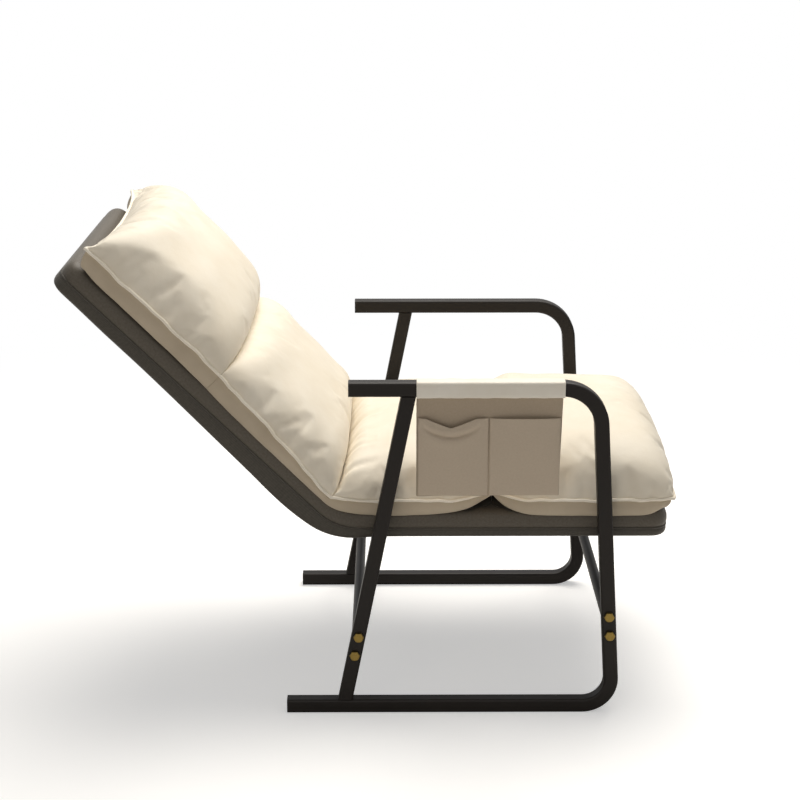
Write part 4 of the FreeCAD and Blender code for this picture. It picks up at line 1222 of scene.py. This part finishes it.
@dataclass
class Shell:
    """The dark upholstered shell: one cover over both pads, bent round the hinge."""

    seat_reach: float = 0.5790
    back_reach: float = 0.6426
    bend_radius: float = 0.095
    recline: float = math.pi / 4
    half_width: float = 0.258
    corner: float = 0.030
    long_steps: int = 132
    end_steps: int = 44
    # Inset and height of each ring of the edge, in mm: top roll, seam with its cord, lower roll.
    edge_plan: tuple[tuple[float, float], ...] = (
        (24.0, 24.9),
        (18.0, 24.6),
        (11.5, 22.9),
        (5.9, 19.1),
        (1.9, 13.4),
        (0.2, 6.4),
        (0.0, 0.6),
        (0.6, -4.0),
        (1.9, -6.6),
        (2.3, -7.2),
        (0.8, -7.9),
        (0.1, -9.2),
        (0.8, -10.5),
        (2.3, -11.2),
        (1.9, -11.9),
        (0.9, -14.0),
        (1.0, -17.5),
        (2.2, -20.8),
        (4.8, -23.4),
        (9.0, -25.0),
        (15.0, -25.6),
        (24.0, -25.8),
    )
    seam_ring: int = 9
    # Depth below the middle plane at which the extra thickness sets in and is full.
    fill_from: float = 0.012
    fill_to: float = 0.022
    # Extra thickness of the outer side: all along, then start, length and size of each change.
    extra: float = 0.0015
    extra_steps: tuple[tuple[float, float, float], ...] = (
        (0.50, 0.22, 0.0145),
        (0.72, 0.32, -0.0065),
        (1.08, 0.10, -0.0015),
    )
    # Place, reach and size of the fuller part just above the bend.
    full_bend: tuple[float, float, float] = (0.635, 0.08, 0.0060)
    lower_bulge: float = -0.0015
    blend_reach: float = 0.072

    @property
    def tangent(self) -> float:
        """Distance from the hinge to where the bend starts."""
        return self.bend_radius * math.tan(self.recline / 2)

    @property
    def seat_run(self) -> float:
        """Straight length under the seat."""
        return self.seat_reach - self.tangent

    @property
    def arc_run(self) -> float:
        """Length of the bend on the middle plane."""
        return self.bend_radius * self.recline

    @property
    def length(self) -> float:
        """Whole length of the cover along its middle plane."""
        return self.seat_run + self.arc_run + self.back_reach - self.tangent

    def bent(self, flat: np.ndarray) -> np.ndarray:
        """Bend a flat slab of (run, across, up) rows round the hinge."""
        run, across, up = flat[:, 0], flat[:, 1], flat[:, 2]
        hinge = np.array(SEAT.hinge)
        seat = np.stack((self.seat_reach - run, across, up), axis=1) + hinge
        turn = np.clip((run - self.seat_run) / self.bend_radius, 0, self.recline)
        radius = self.bend_radius - up
        centre_x = hinge[0] + self.tangent
        centre_z = hinge[2] + self.bend_radius
        arc_x, arc_z = centre_x - radius * np.sin(turn), centre_z - radius * np.cos(turn)
        arc = np.stack((arc_x, across, arc_z), axis=1)
        along = self.tangent + run - self.seat_run - self.arc_run
        back = BACK.world(np.stack((along, across, up), axis=1))
        on_seat = (run <= self.seat_run)[:, None]
        on_back = (run >= self.seat_run + self.arc_run)[:, None]
        return np.where(on_seat, seat, np.where(on_back, back, arc))

    def thickened(self, flat: np.ndarray) -> np.ndarray:
        """Lower the outer face under the back, most just above the bend."""
        out = flat.copy()
        run = flat[:, 0]
        extra = np.full(len(run), self.extra)
        for start, reach, size in self.extra_steps:
            extra += size * smoothstep((run - start) / reach)
        middle, reach, size = self.full_bend
        extra += size * np.exp(-(((run - middle) / reach) ** 2))
        depth = (-flat[:, 2] - self.fill_from) / (self.fill_to - self.fill_from)
        out[:, 2] -= extra * np.clip(depth, 0.0, 1.0)
        return out

    def outline(self) -> tuple[np.ndarray, np.ndarray]:
        """Flat outline from corner middle to corner middle.

        Returns:
            The outline's places (run, across) and its outward directions.
        """
        r = self.corner
        far, wide = self.length - r, self.half_width - r
        middles = np.array([(far, -wide), (far, wide), (r, wide), (r, -wide)])
        eighth = math.pi / 4
        arc_half = r * eighth
        places, ways = [], []
        for k, count in enumerate((self.end_steps, self.long_steps) * 2):
            here, there = middles[k], middles[(k + 1) % 4]
            first = (2 * k - 1) * eighth
            straight = np.linalg.norm(there - here)
            for step in range(count):
                gone = (straight + 2 * arc_half) * step / count
                if gone < arc_half:
                    angle, base = first + gone / r, here
                elif gone > arc_half + straight:
                    angle, base = first + eighth + (gone - arc_half - straight) / r, there
                else:
                    angle = first + eighth
                    base = here + (there - here) * (gone - arc_half) / straight
                way = np.array((math.cos(angle), math.sin(angle)))
                places.append(base + way * r)
                ways.append(way)
        return np.array(places), np.array(ways)

    def face_grid(self, ring: np.ndarray, bulge: float) -> np.ndarray:
        """Fill a ring with a grid, bulged softly in the middle."""
        head, left, foot, right = four_sides(ring, self.end_steps, self.long_steps)
        grid = blend_sides(right, left, head, foot)
        s = np.linspace(0, 1, self.long_steps + 1)[:, None]
        t = np.linspace(0, 1, self.end_steps + 1)[None]
        grid[:, :, 2] += bulge * (4 * t * (1 - t)) ** 2 * np.clip(12 * s * (1 - s), 0, 1)
        return grid

    def rim_numbers(self, start: int, count: int) -> np.ndarray:
        """Vertex numbers of a ring, set out round a face's grid with -1 inside."""
        ends, longs = self.end_steps, self.long_steps
        number = np.full((longs + 1, ends + 1), -1)
        number[0] = start + np.arange(ends + 1)
        number[longs] = start + 2 * ends + longs - np.arange(ends + 1)
        number[:, ends] = start + ends + np.arange(longs + 1)
        number[:, 0] = start + (count - np.arange(longs + 1)) % count
        return number

    def walls(self, places: np.ndarray, rings: list[np.ndarray]) -> tuple[list, list]:
        """Faces of the edge between its rings, and their cloth coordinates."""
        count = len(places)
        run = run_along(np.concatenate((places, places[:1])))
        faces, uvs = [], []
        low = 0.0
        for k in range(len(rings) - 1):
            high = low + float(np.linalg.norm(rings[k + 1][0] - rings[k][0]))
            here, there = k * count, (k + 1) * count
            for i in range(count):
                j = (i + 1) % count
                faces.append((here + i, there + i, there + j, here + j))
                uvs += [(run[i], low), (run[i], high), (run[i + 1], high), (run[i + 1], low)]
            low = high
        return faces, uvs

    def build(self, palette: Palette) -> Object:
        """Make the cover and bend it round the hinge."""
        places, ways = self.outline()
        count = len(places)
        rings = [
            np.column_stack((places - ways * inset * MM, np.full(count, height * MM)))
            for inset, height in self.edge_plan
        ]
        points = list(rings)
        faces, uvs = self.walls(places, rings)
        walls = len(faces)
        total = len(rings) * count
        for ring, bulge, turn in ((0, 0.0, 1), (len(rings) - 1, self.lower_bulge, -1)):
            grid = self.face_grid(rings[ring], bulge)
            number = self.rim_numbers(ring * count, count)
            points.append(number_inside(number, grid, total))
            total += len(points[-1])
            for i in range(self.long_steps):
                for j in range(self.end_steps):
                    corner = [(i, j), (i, j + 1), (i + 1, j + 1), (i + 1, j)][::turn]
                    faces.append(tuple(int(number[c]) for c in corner))
                    uvs += [tuple(grid[c][:2]) for c in corner]
        flat = self.thickened(np.concatenate(points))
        shell = mesh_object("shell_cover", self.bent(flat), faces, np.array(uvs))
        shell.data.materials.append(palette.shell)
        # Painted shade: the edge below its seam and the underside take the darker copy of the
        # olive-grey cloth, for the shade on the faces that turn down.
        shell.data.materials.append(palette.painted_shade_under)
        seam = self.seam_ring * count
        below = walls + self.end_steps * self.long_steps
        finishes = [int(seam <= k < walls or k >= below) for k in range(len(faces))]
        shell.data.polygons.foreach_set("material_index", finishes)
        recalculate(shell)
        subdivide(shell)
        start, end = (pad.world((self.blend_reach, 0.0, 0.0)) for pad in (SEAT, BACK))
        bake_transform(shell)
        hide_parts("seat_shell", "back_shell", "cover_bend")
        return shell


# --- pocket ------------------------------------------------------------------


@dataclass
class ArmPocket:
    """The sleeve round the right armrest, its hanging panel and the two patch pockets."""

    left_end: float = 0.0781
    right_end: float = 0.3286
    arm_y: float = -0.2825
    arm_z: float = 0.6015
    arm_half: float = 0.0125
    cloth: float = 0.0016
    panel_left: float = 0.0781
    panel_right: float = 0.3261
    panel_y: float = -0.2875
    panel_top: float = 0.5867
    panel_low: float = 0.4085
    mouth: float = 0.5512
    patch_low: float = 0.4115
    left_patch: tuple[float, float] = (0.0806, 0.2004)
    right_patch: tuple[float, float] = (0.2024, 0.3228)
    # Room round the tube, squareness of the sleeve, and size and reach of its hems.
    sleeve_room: float = 0.0013
    squareness: float = 5.2
    hem: float = 0.0007
    hem_reach: float = 0.012
    # How far the panel draws in and rises at its lower right corner.
    panel_draw: float = 0.004
    panel_rise: float = 0.003
    panel_lift: float = 0.0006
    # How far a patch stands off the panel, and how far it bellies out.
    patch_gap: float = 0.0018
    belly: float = 0.0058
    least_out: float = 0.0002
    # The drooping mouth: its middle along the patch, its dip, and the fold that smiles below it.
    cowl: float = 0.47
    dip: float = 0.0165
    dip_half: float = 0.36
    smile_drop: float = 0.033
    smile_rise: float = 0.019
    smile_half: float = 0.42
    smile_reach: float = 0.44
    # Height from the smiling fold, width and size of each of its ridges.
    smile_ridges: tuple[tuple[float, float, float], ...] = (
        (0.0, 0.0035, -0.0042),
        (0.009, 0.006, 0.0022),
        (-0.012, 0.009, 0.0012),
    )

    def sheet_object(self, name: str, grid: np.ndarray) -> Object:
        """Make a thick cloth sheet from a grid of places."""
        rows, columns = grid.shape[0] - 1, grid.shape[1] - 1
        run, fall = run_along(grid[0]), run_along(grid[:, 0])
        faces, uvs = grid_faces(rows, columns), []
        for top, low in zip(fall[:-1], fall[1:]):
            for left, right in zip(run[:-1], run[1:]):
                uvs += [(left, top), (left, low), (right, low), (right, top)]
        sheet = mesh_object(name, grid.reshape(-1, 3), faces, np.array(uvs))
        wall = sheet.modifiers.new("cloth", "SOLIDIFY")
        wall.thickness = self.cloth
        wall.offset = 0.0
        apply_modifier(sheet, wall)
        subdivide(sheet)
        return sheet

    def build_sleeve(self, palette: Palette) -> Object:
        """Wrap the sleeve round the armrest tube."""
        around, lengths = 72, 64
        reach = self.arm_half + self.sleeve_room
        turn = np.linspace(0, 2 * math.pi, around + 1) - math.pi * 0.75
        power = 2 / self.squareness
        y = np.sign(np.cos(turn)) * np.abs(np.cos(turn)) ** power
        z = np.sign(np.sin(turn)) * np.abs(np.sin(turn)) ** power
        grid = np.zeros((around + 1, lengths + 1, 3))
        for j, t in enumerate(np.linspace(0, 1, lengths + 1)):
            ends = (t / self.hem_reach, (1 - t) / self.hem_reach)
            hem = self.hem * sum(math.exp(-(end**2)) for end in ends)
            slack = 0.0004 * math.sin(t * 31) + 0.0003 * math.sin(t * 67 + 1)
            sag = 0.0006 * (z < -0.5)
            grid[:, j, 0] = self.left_end + (self.right_end - self.left_end) * t
            grid[:, j, 1] = self.arm_y + y * (reach + hem + slack)
            grid[:, j, 2] = self.arm_z + z * (reach + hem + slack * 0.4) - sag
        sleeve = self.sheet_object("arm_sleeve", grid)
        recalculate(sleeve)
        dress(sleeve, palette.sleeve)
        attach(sleeve, Body.BASE.value)
        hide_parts("pocket_sleeve")
        return sleeve

    def build_panel(self, palette: Palette) -> Object:
        """Hang the panel from the sleeve."""
        columns, rows = 70, 52
        grid = np.zeros((rows + 1, columns + 1, 3))
        for i in range(rows + 1):
            down = i / rows
            for j in range(columns + 1):
                t = j / columns
                sway = 0.0011 * math.sin(t * 7.5 + 0.6) + 0.0006 * math.sin(t * 17 + down * 4)
                corner = down * t
                x = self.panel_left + (self.panel_right - self.panel_left) * t
                z = self.panel_top + self.panel_lift - (self.panel_top - self.panel_low) * down
                x, z = x - self.panel_draw * corner, z + self.panel_rise * corner
                grid[i, j] = (x, self.panel_y + sway * down, z)
        panel = self.sheet_object("pocket_back_panel", grid)
        recalculate(panel)
        # The panel takes the darker painted-shade copy of the taupe cloth.
        dress(panel, palette.panel)
        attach(panel, Body.BASE.value)
        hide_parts("pocket_panel")
        return panel

    def smile(self, t: float, z: float) -> float:
        """How far the drooping patch stands out at its smiling fold."""
        line = self.mouth - self.smile_drop + self.smile_rise * ((t - self.cowl) / self.smile_half) ** 2
        inside = max(0.0, 1 - abs((t - self.cowl) / self.smile_reach) ** 3)
        return inside * sum(
            size * math.exp(-(((z - line - above) / width) ** 2))
            for above, width, size in self.smile_ridges
        )

    def build_patch(
        self, name: str, node: str, span: tuple[float, float], palette: Palette, cowl: bool = False
    ) -> Object:
        """Sew one patch pocket on the panel.

        Args:
            name: the piece's name.
            node: the CAD node it stands for.
            span: its left and right edge.
            palette: the chair's finishes.
            cowl: whether its mouth droops.

        Returns:
            The patch.
        """
        columns, rows = 48, 56
        grid = np.zeros((rows + 1, columns + 1, 3))
        low, high = span
        for i in range(rows + 1):
            down = i / rows
            for j in range(columns + 1):
                t = j / columns
                side = (4 * t * (1 - t)) ** 0.55
                gone = abs((t - self.cowl) / self.dip_half)
                droop = max(0.0, 1 - gone**1.1) if cowl else 0.0
                top = self.mouth - self.dip * droop * (1 - down)
                z = top - (top - self.patch_low) * down
                hang = (1 - down**3) ** 0.5 * (0.55 + 0.45 * math.cos(down * 1.5))
                out = self.belly * side * hang + (self.smile(t, z) if cowl else 0.0)
                y = self.panel_y - self.patch_gap - max(out, self.least_out)
                grid[i, j] = (low + (high - low) * t, y, z)
        patch = self.sheet_object(name, grid)
        recalculate(patch)
        dress(patch, palette.pocket)
        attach(patch, Body.BASE.value)
        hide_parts(node)
        return patch

    def build(self, palette: Palette) -> None:
        """Make the sleeve, the panel and the patches."""
        made = [
            self.build_sleeve(palette),
            self.build_panel(palette),
            self.build_patch(
                "pocket_patch_left", "pocket_left", self.left_patch, palette, cowl=True
            ),
            self.build_patch("pocket_patch_right", "pocket_right", self.right_patch, palette),
        ]
        for piece in made:
            log_size(piece)


# --- steel -------------------------------------------------------------------


@dataclass
class Steelwork:
    """The carried-over steel and plastic pieces and their finishes."""

    painted: tuple[str, ...] = (
        "side_frame_right",
        "side_frame_left",
        "rear_strut_right",
        "rear_strut_left",
        "front_crossbar",
        "rear_crossbar",
        "seat_lugs",
    )

    def build(self, nodes: dict[str, Object], palette: Palette) -> None:
        """Dress every carried-over node that still shows."""
        finishes = dict.fromkeys(self.painted, palette.frame)
        finishes |= {"crossbar_bolts": palette.brass, "tube_end_plugs": palette.plastic}
        for name, node in nodes.items():
            if node.hide_render:
                continue
            finish = finishes.get(name, palette.steel)
            dress(node, finish)
            LOG.info("%s: %s", name, finish.name)


# --- studio ------------------------------------------------------------------


@dataclass
class Studio:
    """Floor, light and camera."""

    camera_place: tuple[float, float, float] = (0.0359, -3.0073, 1.4357)
    pitch: float = 0.304
    yaw: float = 0.0054
    lens: float = 76.17
    sensor: float = 36.0
    floor_colour: str = "#f4f3f1"
    floor_clear: float = 0.7
    floor_white: float = 2.4
    floor_lift: float = 0.42
    floor_size: float = 40.0
    light_target: tuple[float, float, float] = (0.0, 0.0, 0.4)
    # Strength of the world for the light it gives, and for what is seen of it.
    world_light: float = 0.22
    world_seen: float = 0.6

    def build_camera(self) -> None:
        """Set the camera at the photograph's place."""
        data = bpy.data.cameras.new("camera")
        data.lens = self.lens
        data.sensor_width = self.sensor
        camera = bpy.data.objects.new("camera", data)
        bpy.context.scene.collection.objects.link(camera)
        camera.location = self.camera_place
        way = Vector(
            (
                math.sin(self.yaw) * math.cos(self.pitch),
                math.cos(self.yaw) * math.cos(self.pitch),
                -math.sin(self.pitch),
            )
        )
        camera.rotation_euler = way.to_track_quat("-Z", "Y").to_euler()
        bpy.context.scene.camera = camera

    def build_floor(self) -> None:
        """Lay a pale floor that stays white for the camera and keeps the shadow."""
        bpy.ops.object.select_all(action="DESELECT")
        bpy.ops.mesh.primitive_plane_add(size=self.floor_size)
        floor = bpy.context.view_layer.objects.active
        floor.name = "studio_floor"
        paper = Recipe("matt_studio_paper")
        paper.fixed(
            {"Base Color": linear(self.floor_colour), "Roughness": 0.9, "Specular IOR Level": 0.0}
        )
        lit = paper.shader.outputs[0]
        away = paper.add("VectorMath", {0: paper.place()}, operation="LENGTH").outputs["Value"]
        reach = {0: away, 1: self.floor_clear, 2: self.floor_white}
        fade = paper.add("MapRange", reach, interpolation_type="SMOOTHSTEP")
        lift = paper.add("Emission", {"Strength": self.floor_lift})
        near = paper.add("AddShader", {0: lit, 1: lift.outputs[0]})
        white = paper.add("Emission", {"Strength": 1.0})
        shown = paper.add(
            "MixShader", {0: fade.outputs[0], 1: near.outputs[0], 2: white.outputs[0]}
        )
        seen = paper.add("LightPath").outputs["Is Camera Ray"]
        picked = paper.add("MixShader", {0: seen, 1: lit, 2: shown.outputs[0]})
        surface = paper.tree.nodes["Material Output"].inputs["Surface"]
        paper.tree.links.new(picked.outputs[0], surface)
        floor.data.materials.append(paper.material)

    def add_light(self, name: str, place: tuple, size: float, power: float, colour: str) -> None:
        """Hang one soft square light that looks at the chair."""
        data = bpy.data.lights.new(name, "AREA")
        data.shape = "SQUARE"
        data.size = size
        data.energy = power
        data.color = linear(colour)[:3]
        light = bpy.data.objects.new(name, data)
        bpy.context.scene.collection.objects.link(light)
        light.location = place
        way = Vector(self.light_target) - Vector(place)
        light.rotation_euler = way.to_track_quat("-Z", "Y").to_euler()

    def build_light(self) -> None:
        """Light the chair from above with a weak fill from the camera's side."""
        self.add_light("overhead", (0.35, 0.8, 3.0), size=2.2, power=96.0, colour="#fffaf2")
        self.add_light("fill", (-1.2, -3.2, 1.6), size=2.0, power=9.0, colour="#fff0de")
        world = bpy.data.worlds.new("studio")
        bpy.context.scene.world = world
        world.use_nodes = True
        tree = world.node_tree
        tree.nodes.clear()
        rays = add_node(tree, "ShaderNodeLightPath").outputs
        seen = rays["Is Camera Ray"]
        for kind in ("Is Glossy Ray", "Is Transmission Ray"):
            most = add_node(tree, "ShaderNodeMath", {0: seen, 1: rays[kind]}, operation="MAXIMUM")
            seen = most.outputs[0]
        strengths = {0: seen, 3: self.world_light, 4: self.world_seen}
        level = add_node(tree, "ShaderNodeMapRange", strengths).outputs[0]
        inputs = {"Color": (1, 1, 1, 1), "Strength": level}
        sky = add_node(tree, "ShaderNodeBackground", inputs)
        add_node(tree, "ShaderNodeOutputWorld", {"Surface": sky.outputs[0]})

    def build(self) -> None:
        """Make the studio."""
        bpy.context.scene.view_settings.view_transform = "Standard"
        self.build_camera()
        self.build_floor()
        self.build_light()


def main() -> None:
    """Build the chair's pieces in order."""
    logging.basicConfig(level=logging.INFO, format="%(message)s")
    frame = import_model()
    palette = Palette()
    Studio().build()
    Mattress().build(palette)
    Shell().build(palette)
    ArmPocket().build(palette)
    Steelwork().build(frame["nodes"], palette)


if __name__ == "__main__":
    main()
